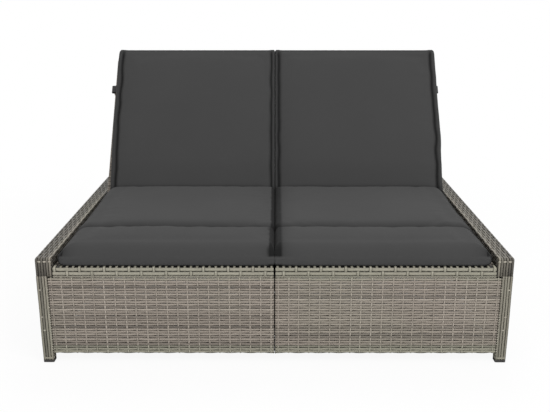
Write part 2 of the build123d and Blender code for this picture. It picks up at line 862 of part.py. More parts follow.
def cushion_strap():
    # A slack loop round the panel: up the inner side, across the back, out past the
    # outer side and in to the cushion's side seam.
    half_strap = strap_thickness / 2
    back_z = half_strap - half_panel - strap_back_reach
    inner_x = back_half_gap - strap_side_gap - half_strap
    outer_x = arm_inner_x - strap_arm_gap - half_strap
    seam_z = half_panel + seat_cushion_lift + back_thickness * bulge_height_share
    seam_x = back_half_width + strap_side_gap + half_strap
    corner = strap_side_gap + half_strap
    bulge = outer_x - back_half_width
    route = FilletPolyline((inner_x, seam_z), (inner_x, back_z), (outer_x, back_z),
                           (outer_x, seam_z - bulge), (seam_x, seam_z),
                           radius=[corner, bulge / 2, bulge / 2])
    band = trace(route, strap_thickness)
    strap_top = back_length - strap_top_inset + strap_width / 2
    place = Plane(origin=(0, strap_top, 0), x_dir=(1, 0, 0), z_dir=(0, -1, 0)).location
    return place * extrude(band, strap_width)


# All nodes
def pair(nodes, name, shape):
    nodes[name + "_right"] = shape
    nodes[name + "_left"] = other_side(shape)


def build_nodes():
    nodes = {}
    envelope = side_frame_shape(0, foot_height)
    pair(nodes, "side_frame", side_frame(envelope))
    pair(nodes, "arm_weave", arm_weave(envelope))
    pair(nodes, "side_weave", side_weave(envelope))
    pair(nodes, "leg_weave", leg_weave(envelope))
    pair(nodes, "front_frame", front_frame())
    pair(nodes, "front_weave", front_weave())
    pair(nodes, "rear_frame", mirror(front_frame(), about=Plane.XZ))
    pair(nodes, "rear_weave", mirror(front_weave(), about=Plane.XZ))
    pair(nodes, "seat_frame", seat_frame())
    pair(nodes, "seat_weave", seat_weave())
    pair(nodes, "side_ledger", side_ledger())
    pair(nodes, "foot_cushion", foot_cushion())
    pair(nodes, "seat_cushion", seat_cushion())
    pair(nodes, "hinge_bracket", hinge_bracket())
    pair(nodes, "rack", rack_pair())
    pair(nodes, "stay", stay())
    pair(nodes, "back_frame", backrest_at_rest * back_frame())
    pair(nodes, "back_weave", backrest_at_rest * back_weave())
    pair(nodes, "hinge_bushes", backrest_at_rest * hinge_bushes())
    pair(nodes, "stay_ears", backrest_at_rest * stay_ears())
    pair(nodes, "back_cushion", backrest_at_rest * back_cushion())
    pair(nodes, "cushion_strap", backrest_at_rest * cushion_strap())
    nodes["corner_feet"] = corner_feet()
    nodes["centre_feet"] = centre_feet()
    nodes["centre_beam"] = centre_beam()
    nodes["centre_legs"] = centre_legs()
    nodes["rack_carriers"] = rack_carriers()
    nodes["hinge_pins"] = hinge_pins()
    nodes["corner_bolts"] = corner_bolts()
    nodes["corner_nuts"] = corner_nuts()
    nodes["centre_bolts"] = centre_bolts()
    nodes["centre_nuts"] = centre_nuts()
    nodes["beam_bolts"] = beam_bolts()
    nodes["ledger_bolts"] = ledger_bolts()
    nodes["deck_screws"] = deck_screws()
    nodes["hinge_screws"] = hinge_screws()
    nodes["rack_bolts"] = rack_bolts()
    return nodes


os.makedirs("parts", exist_ok=True)
for node_name, node_shape in build_nodes().items():
    export_step(node_shape, "parts/" + node_name + ".step")

print("stay turns", round(stay_fold(), 4), "degrees for", back_tilt, "degrees of the backrest")
print("stay length", round(stay_lean().length, 3), "backrest length", back_length)
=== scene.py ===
import json
import math
import random

import bmesh
import bpy
import numpy as np
from mathutils import Matrix, Vector


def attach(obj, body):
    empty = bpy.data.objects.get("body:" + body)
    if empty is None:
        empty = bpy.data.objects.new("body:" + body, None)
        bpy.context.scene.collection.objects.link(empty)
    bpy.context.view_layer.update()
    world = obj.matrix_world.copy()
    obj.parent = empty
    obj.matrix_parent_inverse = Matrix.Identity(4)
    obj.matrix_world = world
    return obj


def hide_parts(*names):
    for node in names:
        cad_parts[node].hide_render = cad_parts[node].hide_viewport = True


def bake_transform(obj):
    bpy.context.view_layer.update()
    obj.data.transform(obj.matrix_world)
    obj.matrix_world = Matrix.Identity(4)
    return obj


# Double chaise lounger: woven base with arm rails, two tilting backrests, charcoal cushions.
# Metres. The foot end faces -Y, the head end +Y. Everything is worked out for the right half
# (+X) and turned over for the other half and for the head end.
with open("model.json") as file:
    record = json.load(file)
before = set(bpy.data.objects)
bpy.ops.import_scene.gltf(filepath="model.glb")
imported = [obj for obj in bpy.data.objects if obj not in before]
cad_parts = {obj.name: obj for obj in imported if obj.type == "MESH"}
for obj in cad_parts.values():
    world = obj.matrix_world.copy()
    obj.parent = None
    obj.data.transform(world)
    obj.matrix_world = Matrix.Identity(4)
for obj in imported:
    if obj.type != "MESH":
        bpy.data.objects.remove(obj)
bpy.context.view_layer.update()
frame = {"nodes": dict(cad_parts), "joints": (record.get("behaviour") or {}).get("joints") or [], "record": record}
halves = {"right": 1.0, "left": -1.0}
backTilt = math.radians(50.5)
hinge = Vector(frame["joints"][0]["pos_m"])


def hingeFrame(s, n):
    # Along the tilted backrest by s and off it by n, as (y, z)
    return (hinge.y + s * math.cos(backTilt) - n * math.sin(backTilt),
            hinge.z + s * math.sin(backTilt) + n * math.cos(backTilt))


# Helpers for numbers and shapes
def smooth(x):
    x = np.clip(x, 0, 1)
    return x * x * (3 - 2 * x)


def unit(rows):
    return rows / np.maximum(np.linalg.norm(rows, axis=-1, keepdims=True), 1e-9)


# Shader helpers
def newMaterial(name):
    material = bpy.data.materials.new(name)
    material.use_nodes = True
    return material, material.node_tree, material.node_tree.nodes["Principled BSDF"]


def feed(tree, node, inputs):
    # Each input takes a plain value or another node's output
    for key, value in inputs.items():
        if isinstance(value, bpy.types.NodeSocket):
            tree.links.new(value, node.inputs[key])
        else:
            node.inputs[key].default_value = value
    return node.outputs


def addNode(tree, kind, inputs=(), **settings):
    node = tree.nodes.new("ShaderNode" + kind)
    for key, value in settings.items():
        setattr(node, key, value)
    return feed(tree, node, dict(inputs))


def addMapRange(tree, source, fromSpan, toSpan, shape="LINEAR"):
    inputs = {"Value": source, "From Min": fromSpan[0], "From Max": fromSpan[1],
              "To Min": toSpan[0], "To Max": toSpan[1]}
    return addNode(tree, "MapRange", inputs, interpolation_type=shape)["Result"]


def addMath(tree, operation, first, second=0.0):
    return addNode(tree, "Math", {0: first, 1: second}, operation=operation)["Value"]


def addColourMix(tree, share, first, second):
    return addNode(tree, "Mix", {0: share, 6: first, 7: second}, data_type="RGBA")[2]


def addScaled(tree, colour, share):
    return addNode(tree, "VectorMath", {0: colour, "Scale": share}, operation="SCALE")["Vector"]


def addBump(tree, shader, height, strength, distance):
    bump = addNode(tree, "Bump", {"Height": height, "Strength": strength, "Distance": distance})
    feed(tree, shader, {"Normal": bump["Normal"]})


# Slow patches and fine grain, from the object's own coordinates
def buildWearGroup():
    group = bpy.data.node_groups.new("surfaceWear", "ShaderNodeTree")
    for label, default in (("Patch Scale", 6.0), ("Grain Scale", 220.0)):
        socket = group.interface.new_socket(name=label, in_out="INPUT",
                                            socket_type="NodeSocketFloat")
        socket.default_value = default
    for label in ("Patches", "Grain"):
        group.interface.new_socket(name=label, in_out="OUTPUT", socket_type="NodeSocketFloat")
    inside, outside = group.nodes.new("NodeGroupInput"), group.nodes.new("NodeGroupOutput")
    place = addNode(group, "TexCoord")["Object"]
    for label, source, detail in (("Patches", "Patch Scale", 3.0), ("Grain", "Grain Scale", 2.0)):
        noise = addNode(group, "TexNoise", {"Vector": place, "Scale": inside.outputs[source],
                                            "Detail": detail})
        feed(group, outside, {label: noise["Fac"]})
    return group


wearGroup = buildWearGroup()


def placeWear(tree, patchScale, grainScale):
    scales = {"Patch Scale": patchScale, "Grain Scale": grainScale}
    node = tree.nodes.new("ShaderNodeGroup")
    node.node_tree = wearGroup
    return feed(tree, node, scales)


# Woven plastic strands. Each point carries its place on its strand: the run along it, the lane
# across it from -1 to 1 and the strand's tone, and in the fourth number how olive it is.
strandLook = {
    "plainRamp": ((0.078, 0.067, 0.056, 1.0), (0.280, 0.241, 0.201, 1.0),
                  (0.420, 0.374, 0.320, 1.0)),
    "oliveRamp": ((0.060, 0.057, 0.044, 1.0), (0.268, 0.256, 0.199, 1.0),
                  (0.405, 0.387, 0.315, 1.0)),
    "wearScales": (3.5, 900.0),
    "driftFrom": (0.40, 0.66),
    "driftTo": (-0.15, 0.30),
    "edgeFrom": (0.55, 1.0),
    "paintedEdgeShade": 0.36,
    "streakScale": (22.0, 2.6, 30.0),
    "streakFrom": (0.3, 0.7),
    "streakShade": (0.84, 1.12),
    "roughness": (0.46, 0.64),
    "grooveStrength": 0.5,
    "grooveDepth": 0.00012,
}


def addRamp(tree, share, colours):
    ramp = tree.nodes.new("ShaderNodeValToRGB")
    ramp.color_ramp.elements[0].color = colours[0]
    ramp.color_ramp.elements[1].color = colours[2]
    ramp.color_ramp.elements.new(0.5).color = colours[1]
    return feed(tree, ramp, {"Fac": share})["Color"]


def strandMaterial():
    look = strandLook
    material, tree, shader = newMaterial("wovenStrand")
    place = addNode(tree, "Attribute", attribute_name="strandPlace")
    parts = addNode(tree, "SeparateXYZ", {"Vector": place["Vector"]})
    plain = addRamp(tree, parts["Z"], look["plainRamp"])
    olive = addRamp(tree, parts["Z"], look["oliveRamp"])
    wear = placeWear(tree, *look["wearScales"])
    drift = addMapRange(tree, wear["Patches"], look["driftFrom"], look["driftTo"])
    tint = addColourMix(tree, addMath(tree, "ADD", place["Alpha"], drift), plain, olive)
    # Painted shade: each strand darkens towards its edges, where it dips into the gaps between strands
    edge = addMapRange(tree, addMath(tree, "ABSOLUTE", parts["Y"]), look["edgeFrom"],
                       (1.0, look["paintedEdgeShade"]), "SMOOTHSTEP")
    stretched = addNode(tree, "Mapping", {"Vector": place["Vector"], "Scale": look["streakScale"]})
    streaks = addNode(tree, "TexNoise", {"Vector": stretched["Vector"], "Scale": 1.0,
                                         "Detail": 2.0})["Fac"]
    grain = addMapRange(tree, streaks, look["streakFrom"], look["streakShade"])
    feed(tree, shader, {
        "Base Color": addScaled(tree, tint, addMath(tree, "MULTIPLY", edge, grain)),
        "Roughness": addMapRange(tree, streaks, look["streakFrom"], look["roughness"]),
    })
    addBump(tree, shader, streaks, look["grooveStrength"], look["grooveDepth"])
    return material


# Cushion cloth: plain weave, a little sheen, and painted shade that darkens it in the seams, creases and folds and
# beside the arm and the other pad. The cloth's own place is an attribute in metres, so that the threads follow the
# folds; its fourth number is the painted shade.
clothLook = {
    "colour": (0.045, 0.045, 0.045, 1.0),
    "pale": (0.060, 0.060, 0.060, 1.0),
    "wearScales": (4.0, 380.0),
    "threadPitch": 0.0011,
    "threadSwerve": 0.4,
    "threadStrength": 0.35,
    "threadDepth": 0.00016,
    "paintedShadeLevel": 0.20,
    "roughness": (0.82, 0.94),
    "sheen": 0.03,
    "sheenRoughness": 0.5,
    "specular": 0.08,
}
# A wave texture of scale 1 has a band about every 0.31
waveTextureShare = 3.18


def clothMaterial():
    look = clothLook
    material, tree, shader = newMaterial("charcoalCloth")
    place = addNode(tree, "Attribute", attribute_name="clothPlaceAndPaintedShade")
    scale = 1.0 / (look["threadPitch"] * waveTextureShare)
    threads = [addNode(tree, "TexWave", {"Vector": place["Vector"], "Scale": scale,
                                         "Distortion": look["threadSwerve"]},
                       bands_direction=direction)["Fac"] for direction in ("X", "Y")]
    wear = placeWear(tree, *look["wearScales"])
    shade = addMath(tree, "ADD", *(addMath(tree, "MULTIPLY", wear[label], 0.5)
                                   for label in ("Patches", "Grain")))
    tint = addColourMix(tree, shade, look["colour"], look["pale"])
    # Painted shade from the attribute's fourth number darkens the base colour, down to the painted shade level in
    # clothLook
    seam = addMapRange(tree, place["Alpha"], (0.0, 1.0), (1.0, look["paintedShadeLevel"]))
    feed(tree, shader, {
        "Base Color": addScaled(tree, tint, seam),
        "Roughness": addMapRange(tree, wear["Grain"], (0.0, 1.0), look["roughness"]),
        "Sheen Weight": look["sheen"],
        "Sheen Roughness": look["sheenRoughness"],
        "Specular IOR Level": look["specular"],
    })
    addBump(tree, shader, addMath(tree, "MULTIPLY", *threads), look["threadStrength"],
            look["threadDepth"])
    return material


# Plain finishes: colour, paler colour in patches, roughness, metallic, grain scale, bump depth
finishLooks = {
    "powderCoat": ((0.028, 0.027, 0.025, 1), (0.040, 0.038, 0.035, 1), 0.48, 0.0, 1400, 0.0001),
    "zincSteel": ((0.42, 0.42, 0.41, 1), (0.55, 0.55, 0.53, 1), 0.36, 0.9, 600, 0.00005),
    "blackNylon": ((0.020, 0.019, 0.018, 1), (0.032, 0.030, 0.028, 1), 0.55, 0.0, 900, 0.00008),
    "strapWebbing": ((0.032, 0.032, 0.033, 1), (0.052, 0.052, 0.053, 1), 0.85, 0.0, 700, 0.0003),
}
finishWear = {"patchScale": 9.0, "from": (0.2, 0.8), "smoother": 0.07, "rougher": 0.09, "bump": 0.3}


def plainMaterial(name):
    colour, pale, rough, metallic, grainScale, depth = finishLooks[name]
    material, tree, shader = newMaterial(name)
    wear = placeWear(tree, finishWear["patchScale"], grainScale)
    span = (rough - finishWear["smoother"], rough + finishWear["rougher"])
    feed(tree, shader, {
        "Base Color": addColourMix(tree, wear["Patches"], colour, pale),
        "Roughness": addMapRange(tree, wear["Grain"], finishWear["from"], span),
        "Metallic": metallic,
    })
    addBump(tree, shader, wear["Grain"], finishWear["bump"], depth)
    return material


strandSkin = strandMaterial()
cloth = clothMaterial()
finishes = {name: plainMaterial(name) for name in finishLooks}
print("materials done")


def finishPiece(bm, name, material):
    bmesh.ops.recalc_face_normals(bm, faces=bm.faces)
    mesh = bpy.data.meshes.new(name)
    bm.to_mesh(mesh)
    bm.free()
    mesh.polygons.foreach_set("use_smooth", [True] * len(mesh.polygons))
    mesh.materials.append(material)
    piece = bpy.data.objects.new(name, mesh)
    bpy.context.scene.collection.objects.link(piece)
    return piece


# A bent line in a plane with rounded corners, read by distance: points and left-hand normals
class BentLine:
    def __init__(self, corners, radius=0.0045, steps=4):
        corners = [Vector(corner) for corner in corners]
        heading = (corners[1] - corners[0]).normalized()
        points, normals = [corners[0]], [Vector((-heading.y, heading.x))]
        for here, beyond in zip(corners[1:], corners[2:]):
            following = (beyond - here).normalized()
            turn = math.atan2(heading.x * following.y - heading.y * following.x,
                              heading.dot(following))
            left = Vector((-heading.y, heading.x))
            start = here - heading * radius * math.tan(abs(turn) / 2)
            centre = start + left * math.copysign(radius, turn)
            for step in range(steps + 1):
                spin = Matrix.Rotation(turn * step / steps, 2)
                points.append(centre + spin @ (start - centre))
                normals.append(spin @ left)
            heading = following
        points.append(corners[-1])
        normals.append(Vector((-heading.y, heading.x)))
        self.points, self.normals = np.array(points), np.array(normals)
        gaps = np.linalg.norm(np.diff(self.points, axis=0), axis=1)
        self.marks = np.concatenate([[0.0], np.cumsum(gaps)])
        self.length = float(self.marks[-1])

    def at(self, distance):
        both = [np.stack([np.interp(distance, self.marks, column) for column in values.T], axis=-1)
                for values in (self.points, self.normals)]
        return both[0], unit(both[1])


def lippedLine(low, high, depth, **shape):
    # Flat from low to high, with both ends bent back by depth
    return BentLine([(low, -depth), (low, 0), (high, 0), (high, -depth)], **shape)


# A curved sheet for strands to lie on: one bent line across it, one along it, both as
# (distance in the sheet's plane, height off it)
class StrandSheet:
    def __init__(self, origin, acrossAxis, alongAxis, outAxis, acrossLine, alongLine):
        self.origin = np.array(origin)
        self.axes = [np.array(axis, float) for axis in (acrossAxis, alongAxis, outAxis)]
        self.acrossLine, self.alongLine = acrossLine, alongLine

    def at(self, u, v):
        across, along, out = self.axes
        spotU, outU = self.acrossLine.at(u)
        spotV, outV = self.alongLine.at(v)
        place = (self.origin + spotU[..., :1] * across + spotV[..., :1] * along
                 + (spotU[..., 1:] + spotV[..., 1:]) * out)
        normal = unit(outU[..., :1] * outV[..., 1:] * across
                      + outV[..., :1] * outU[..., 1:] * along
                      + outU[..., 1:] * outV[..., 1:] * out)
        return place, normal


# The strands of one piece, all in one mesh
strandSizes = {
    "rowPitch": 0.00794,
    "rowWidthShare": 0.98,
    "rowThickness": 0.0014,
    "stakePitch": 0.0308,
    "stakeWidth": 0.0058,
    "stakeThickness": 0.0012,
    "swing": 0.0009,
    "middleDepth": 0.0018,
    "wrapDepth": 0.0009,
    "wrapReach": 0.004,
    "cornerSaving": 0.0019,
    "bendRings": (0.0015, 0.005),
    "closestRings": 0.0011,
    "rowDrift": 0.0003,
    "rowDriftWaves": (40, 90),
    "stakeDrift": 0.0008,
    "tone": 0.50,
    "toneSpread": 0.09,
    "stakeTone": 0.66,
    "darkDrop": 0.20,
    "darkEvery": 4,
}
# A flat strand's cross-section as (share of half its width, share of half its thickness)
strandSection = np.array([(-1.0, -0.5), (-0.5, 1.0), (0.5, 1.0), (1.0, -0.5),
                          (0.7, -1.0), (-0.7, -1.0), (-1.0, -0.5)])


class Weave:
    def __init__(self, name, turnOver, seed):
        self.name, self.turnOver = name, np.array(turnOver, float)
        self.dice = random.Random(seed)
        self.bm = bmesh.new()
        self.layer = self.bm.verts.layers.float_color.new("strandPlace")

    def addStrands(self, centre, hint, wide, thick, tones, olive=0.0):
        # centre is (strand, ring, xyz), hint the outward direction. All the strands are one grid
        # that is rolled into tubes, with the faces between two strands taken out.
        count, rings = centre.shape[:2]
        hint = np.broadcast_to(np.asarray(hint, float), centre.shape)
        heading = np.gradient(centre, axis=1)
        side = unit(np.cross(heading, hint))
        out = unit(np.cross(side, heading))
        lanes, lifts = strandSection[:, 0], strandSection[:, 1]
        wide = np.broadcast_to(np.asarray(wide, float), (count, rings))
        points = (centre[:, None] + lanes[None, :, None, None] * side[:, None]
                  * (wide / 2)[:, None, :, None]
                  + lifts[None, :, None, None] * out[:, None] * thick / 2)
        points = (points * self.turnOver).reshape(-1, 3).tolist()
        steps = np.linalg.norm(np.diff(centre, axis=1), axis=2)
        runs = np.concatenate([np.zeros((count, 1)), np.cumsum(steps, axis=1)], axis=1)
        runs += np.array([self.dice.uniform(0, 9) for strand in range(count)])[:, None]
        marks = np.empty((count, len(lanes), rings, 4))
        marks[..., 0] = runs[:, None]
        marks[..., 1] = lanes[None, :, None]
        marks[..., 2] = np.clip(np.asarray(tones, float), 0.02, 0.98).reshape(-1, 1, 1)
        marks[..., 3] = np.broadcast_to(np.asarray(olive, float), (count, rings))[:, None]
        grid = bmesh.ops.create_grid(self.bm, x_segments=rings - 1,
                                     y_segments=count * len(lanes) - 1, size=1.0)["verts"]
        for vert, point, mark in zip(grid, points, marks.reshape(-1, 4).tolist()):
            vert.co = point
            vert[self.layer] = mark
        between = set()
        for strand in range(count - 1):
            last = (strand * len(lanes) + len(lanes) - 1) * rings
            for ring in range(rings - 1):
                between.update(set(grid[last + ring].link_faces)
                               & set(grid[last + rings + ring + 1].link_faces))
        if between:
            bmesh.ops.delete(self.bm, geom=list(between), context="FACES")

    def layOn(self, sheet, u, v, height, *strand):
        # At u across the sheet and v along it, each ring at its height off the sheet
        place, out = sheet.at(*np.broadcast_arrays(u, v))
        self.addStrands(place + out * height[..., None], out, *strand)

    def tones(self, count, base, spread, darkEvery=0):
        values = np.array([self.dice.gauss(base, spread) for strand in range(count)])
        if darkEvery:
            values[darkEvery - 1::darkEvery] -= strandSizes["darkDrop"]
        return values

    def finish(self, *nodes, body="base"):
        bmesh.ops.remove_doubles(self.bm, verts=self.bm.verts, dist=1e-6)
        rims = [edge for edge in self.bm.edges if edge.is_boundary]
        bmesh.ops.holes_fill(self.bm, edges=rims, sides=len(strandSection))
        piece = finishPiece(self.bm, self.name, strandSkin)
        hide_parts(*nodes)
        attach(piece, body)
        return piece


def spotsAlong(length, first, step, wraps):
    # Evenly spaced from first between the two wrapped ends, closer at the bends
    low, high = wraps[0], length - wraps[1]
    spots = [0.0, length] + list(np.arange(low + (first - low) % step, high, step))
    near, far = strandSizes["bendRings"]
    for bend in ((low,) if low else ()) + ((high,) if wraps[1] else ()):
        spots += [bend - far, bend - near, bend + near, bend + far]
    spots = np.sort(np.array([spot for spot in spots if 0.0 <= spot <= length]))
    return spots[np.concatenate([[True], np.diff(spots) > strandSizes["closestRings"]])]


def crossWave(at, first, pitch, numbers):
    # Over one, under one from the crossing at first, with each next strand the other way round
    return np.cos(math.pi * ((at[None] - first) / pitch + np.asarray(numbers)[:, None]))


def plainWeave(weave, sheet, rows, stakes, rowWraps, stakeWraps, fineness,
               olive=np.zeros_like):
    # rows are distances on the along line, stakes on the across line. The wraps are how far the
    # two ends lie bent back, and olive gives the olive share by distance along.
    size, dice = strandSizes, weave.dice
    rowPitch, stakePitch = rows[1] - rows[0], stakes[1] - stakes[0]

    def lift(at, length, wraps, wave):
        # Waving on the face and level on the wrapped ends
        low = (at - wraps[0]) / size["wrapReach"] if wraps[0] else np.ones_like(at)
        high = (length - wraps[1] - at) / size["wrapReach"] if wraps[1] else np.ones_like(at)
        face = np.clip(np.minimum(low, high), 0.0, 1.0)
        return (size["swing"] * wave - size["middleDepth"]) * face - size["wrapDepth"] * (1 - face)

    length = sheet.acrossLine.length
    at = spotsAlong(length, stakes[0], stakePitch / fineness, rowWraps)
    wave = crossWave(at, stakes[0], stakePitch, range(len(rows)))
    most = size["rowDrift"]
    jitter = np.array([[dice.uniform(-most, most), dice.uniform(*size["rowDriftWaves"]),
                        dice.uniform(0, 6)] for row in rows])
    drift = jitter[:, :1] + most * np.sin(at[None] * jitter[:, 1:2] + jitter[:, 2:])
    weave.layOn(sheet, at[None], rows[:, None] + drift, lift(at, length, rowWraps, wave),
                rowPitch * size["rowWidthShare"], size["rowThickness"],
                weave.tones(len(rows), size["tone"], size["toneSpread"], size["darkEvery"]),
                olive(rows)[:, None])

    length = sheet.alongLine.length
    at = spotsAlong(length, rows[0], rowPitch / (fineness // 2), stakeWraps)
    wave = -crossWave(at, rows[0], rowPitch, range(len(stakes)))
    most = size["stakeDrift"]
    drift = np.array([dice.uniform(-most, most) for stake in stakes])[:, None]
    weave.layOn(sheet, stakes[:, None] + drift, at[None], lift(at, length, stakeWraps, wave),
                size["stakeWidth"], size["stakeThickness"],
                weave.tones(len(stakes), size["stakeTone"], size["toneSpread"]), olive(at)[None])


# What the end panels and the side panels share
panelSizes = {
    "bottomZ": 0.0285,
    "firstRowZ": 0.0273,
    "rowCount": 31,
    "lipDepth": 0.014,
    "oliveAboveZ": 0.262,
    "oliveBelowZ": 0.058,
    "oliveReach": 0.006,
}


def oliveAt(z):
    # The panels' lowest and highest strands are olive
    size = panelSizes
    return sum(np.clip(over / size["oliveReach"], 0, 1)
               for over in (z - size["oliveAboveZ"], size["oliveBelowZ"] - z))


def weavePanel(weave, origin, acrossAxis, outAxis, low, high, topZ, spots, fineness):
    # From low to high and up to topZ, lipped at the lower edge and both sides. Distances on a
    # line start at its lip, so a spot on the face is its place plus wrapU or wrapV.
    size = panelSizes
    depth = size["lipDepth"]
    along = BentLine([(size["bottomZ"], -depth), (size["bottomZ"], 0), (topZ, 0)])
    sheet = StrandSheet(origin, acrossAxis, (0, 0, 1), outAxis, lippedLine(low, high, depth),
                        along)
    wrapU, wrapV = (depth - start - strandSizes["cornerSaving"]
                    for start in (low, size["bottomZ"]))
    rows = size["firstRowZ"] + wrapV + np.arange(size["rowCount"]) * strandSizes["rowPitch"]
    plainWeave(weave, sheet, rows, wrapU + spots, (depth, depth), (depth, 0.0), fineness,
               olive=lambda v: oliveAt(v - wrapV))


# Front and head-end panels: a plain weave below, a twisted pair above it, and a top rail bound
# with close wraps that two rows of broad strand run over three at a time
endPanel = {
    "innerX": 0.0012,
    "lowerOuterX": 0.6674,
    "upperOuterX": 0.6514,
    "faceY": -0.760,
    "weaveTopZ": 0.2715,
    "topZ": 0.3038,
    "firstStake": 0.0105,
    "fineness": 4,
    "twistZ": 0.2735,
    "twistReach": 0.0016,
    "twistPeriod": 0.0154,
    "twistWidth": 0.0046,
    "railRowZ": (0.2832, 0.2960),
    "railRowWidth": 0.0116,
    "wrapPitch": 0.01815,
    "wrapWidth": 0.0085,
    "wrapBack": 0.026,
    "twistDepth": 0.0016,
    "twistSwing": 0.0008,
    "twistThickness": 0.0010,
    "twistTone": (0.40, 0.03),
    "twistOlive": 0.8,
    "firstWrap": 0.0075,
    "lastWrap": 0.004,
    "wrapStart": 0.002,
    "wrapEnd": 0.006,
    "wrapRadius": 0.0055,
    "wrapDepth": 0.0028,
    "wrapLift": 0.0021,
    "wrapThickness": 0.0012,
    "wrapTone": (0.62, 0.07),
    "wrapRings": (0.0245, 0.0265, 0.0285, 0.0305, 0.033, 0.040, 0.048, 0.0515, 0.0535, 0.0555),
    "topFrom": 0.0225,
    "rowRings": 0.003,
    "edgeRings": 0.0025,
    "overRow": (1.6, 0.004),
    "railTone": (0.56, 0.03),
    "railDepth": 0.0009,
    "railDip": 0.0021,
    "railDipFrom": 0.0045,
    "railDipReach": 0.0035,
}


def buildEndPanel(end, half, turnOver, seed):
    size, stakePitch = endPanel, strandSizes["stakePitch"]
    weave = Weave(end + "Weave_" + half, turnOver, seed)
    count = int((size["lowerOuterX"] - size["firstStake"]) / stakePitch) + 1
    weavePanel(weave, (0, size["faceY"], 0), (1, 0, 0), (0, -1, 0), size["innerX"],
               size["lowerOuterX"], size["weaveTopZ"],
               size["firstStake"] + np.arange(count) * stakePitch, size["fineness"])

    # Twisted pair
    x = np.arange(size["innerX"] + 0.002, size["upperOuterX"], size["twistPeriod"] / 8)
    for phase in (0.0, math.pi):
        angle = 2 * math.pi * x / size["twistPeriod"] + phase
        y = size["faceY"] + size["twistDepth"] - size["twistSwing"] * np.sin(angle)
        z = size["twistZ"] + size["twistReach"] * np.cos(angle)
        centre = np.stack([x, y, z], axis=-1)[None]
        weave.addStrands(centre, (0, -1, 0), size["twistWidth"], size["twistThickness"],
                         weave.tones(1, *size["twistTone"]), size["twistOlive"])

    # Wraps over the top rail, and the broad rows under and over them
    wraps = np.arange(size["innerX"] + size["firstWrap"], size["upperOuterX"] - size["lastWrap"],
                      size["wrapPitch"])
    start = size["twistZ"] + size["wrapStart"]
    profile = BentLine([(start, 0), (size["topZ"], 0), (size["topZ"], -size["wrapBack"]),
                        (size["topZ"] - size["wrapEnd"], -size["wrapBack"])],
                       radius=size["wrapRadius"])
    level = BentLine([(0, 0), (1, 0)])
    sheet = StrandSheet((0, size["faceY"], 0), (1, 0, 0), (0, 0, 1), (0, -1, 0), level, profile)
    rowSpots = [z - start for z in size["railRowZ"]]
    (low, high), near, edge = rowSpots, size["rowRings"], size["edgeRings"]
    at = np.array([0.0, edge, low - near, low, low + near, high - near, high, high + edge,
                   *size["wrapRings"], profile.length])
    number = np.arange(len(wraps))
    over = np.zeros((len(wraps), len(at)))
    most, reach = size["overRow"]
    for row, spot in enumerate(rowSpots):
        crossing = ((number + 2 * row) % 4 == 1)[:, None]
        over = np.maximum(over, crossing * np.clip(most - np.abs(at - spot) / reach, 0, 1)[None])
    over = np.maximum(over, np.clip((at - size["topFrom"]) / 0.002, 0, 1)[None])
    heights = size["wrapLift"] * over - size["wrapDepth"]
    weave.layOn(sheet, wraps[:, None], at[None], heights, size["wrapWidth"],
                size["wrapThickness"], weave.tones(len(wraps), *size["wrapTone"]), 1.0)
    for row, z in enumerate(size["railRowZ"]):
        x = np.arange(wraps[0] - size["wrapPitch"] / 3, size["upperOuterX"] - 0.001,
                      size["wrapPitch"] / 6)
        phase = ((x - wraps[0]) / size["wrapPitch"] + 2 * row - 1) % 4
        gap = np.minimum(phase, 4 - phase) * size["wrapPitch"]
        dip = smooth(1 - (gap - size["railDipFrom"]) / size["railDipReach"])
        y = size["faceY"] + size["railDepth"] + size["railDip"] * dip
        centre = np.stack([x, y, np.full(len(x), z)], axis=-1)[None]
        weave.addStrands(centre, (0, -1, 0), size["railRowWidth"], strandSizes["rowThickness"],
                         weave.tones(1, *size["railTone"]), 1.0)
    return weave.finish(end + "_weave_" + half)


# Side panels under the arms, between the legs
sidePanel = {
    "faceX": 0.700,
    "halfLength": 0.7275,
    "topZ": 0.2725,
    "fineness": 3,
}


def buildSidePanel(half, seed):
    size, stakePitch = sidePanel, strandSizes["stakePitch"]
    weave = Weave("sideWeave_" + half, (halves[half], 1, 1), seed)
    reach = size["halfLength"]
    count = int(reach / stakePitch)
    weavePanel(weave, (size["faceX"], 0, 0), (0, 1, 0), (1, 0, 0), -reach, reach, size["topZ"],
               np.arange(-count, count + 1) * stakePitch, size["fineness"])
    return weave.finish("side_weave_" + half)


# Arms: lengthwise strands, the top ones bent down over both ends, and cross stakes over the rail
armSizes = {
    "innerX": 0.652,
    "outerX": 0.700,
    "endY": 0.7598,
    "bottomZ": 0.2742,
    "topZ": 0.3308,
    "cornerRadius": 0.006,
    "strandCount": 20,
    "firstTop": 7,
    "topCount": 6,
    "firstCrossY": -0.7455,
    "tieDepth": 0.0115,
    "innerTone": 0.38,
    "topTone": 0.05,
    "sideTone": 0.36,
    "crossTone": 0.26,
    "paintedShadeTone": 0.03,
    "topSpread": 0.06,
    "sideSpread": 0.07,
    "crossSpread": 0.08,
    "secondTone": 0.12,
    "widthShare": 0.93,
    "olive": (0.55, 0.5),
    "endRadius": 0.007,
    "endSaving": 0.0030,
    "tieWidth": 0.0062,
    "tieThickness": 0.0011,
    "tieTone": 0.82,
    "tieOlive": 0.6,
    "tieRings": 0.005,
    "tieReach": 0.0045,
    "tieCentre": (0.0020, 0.0011),
    "endFrom": 0.012,
    "endReach": 0.006,
    "endDepth": 0.0011,
    "endDive": 0.0017,
    "lastCross": 0.01,
    "sideEnd": 0.004,
    "crossDrift": 0.0006,
}


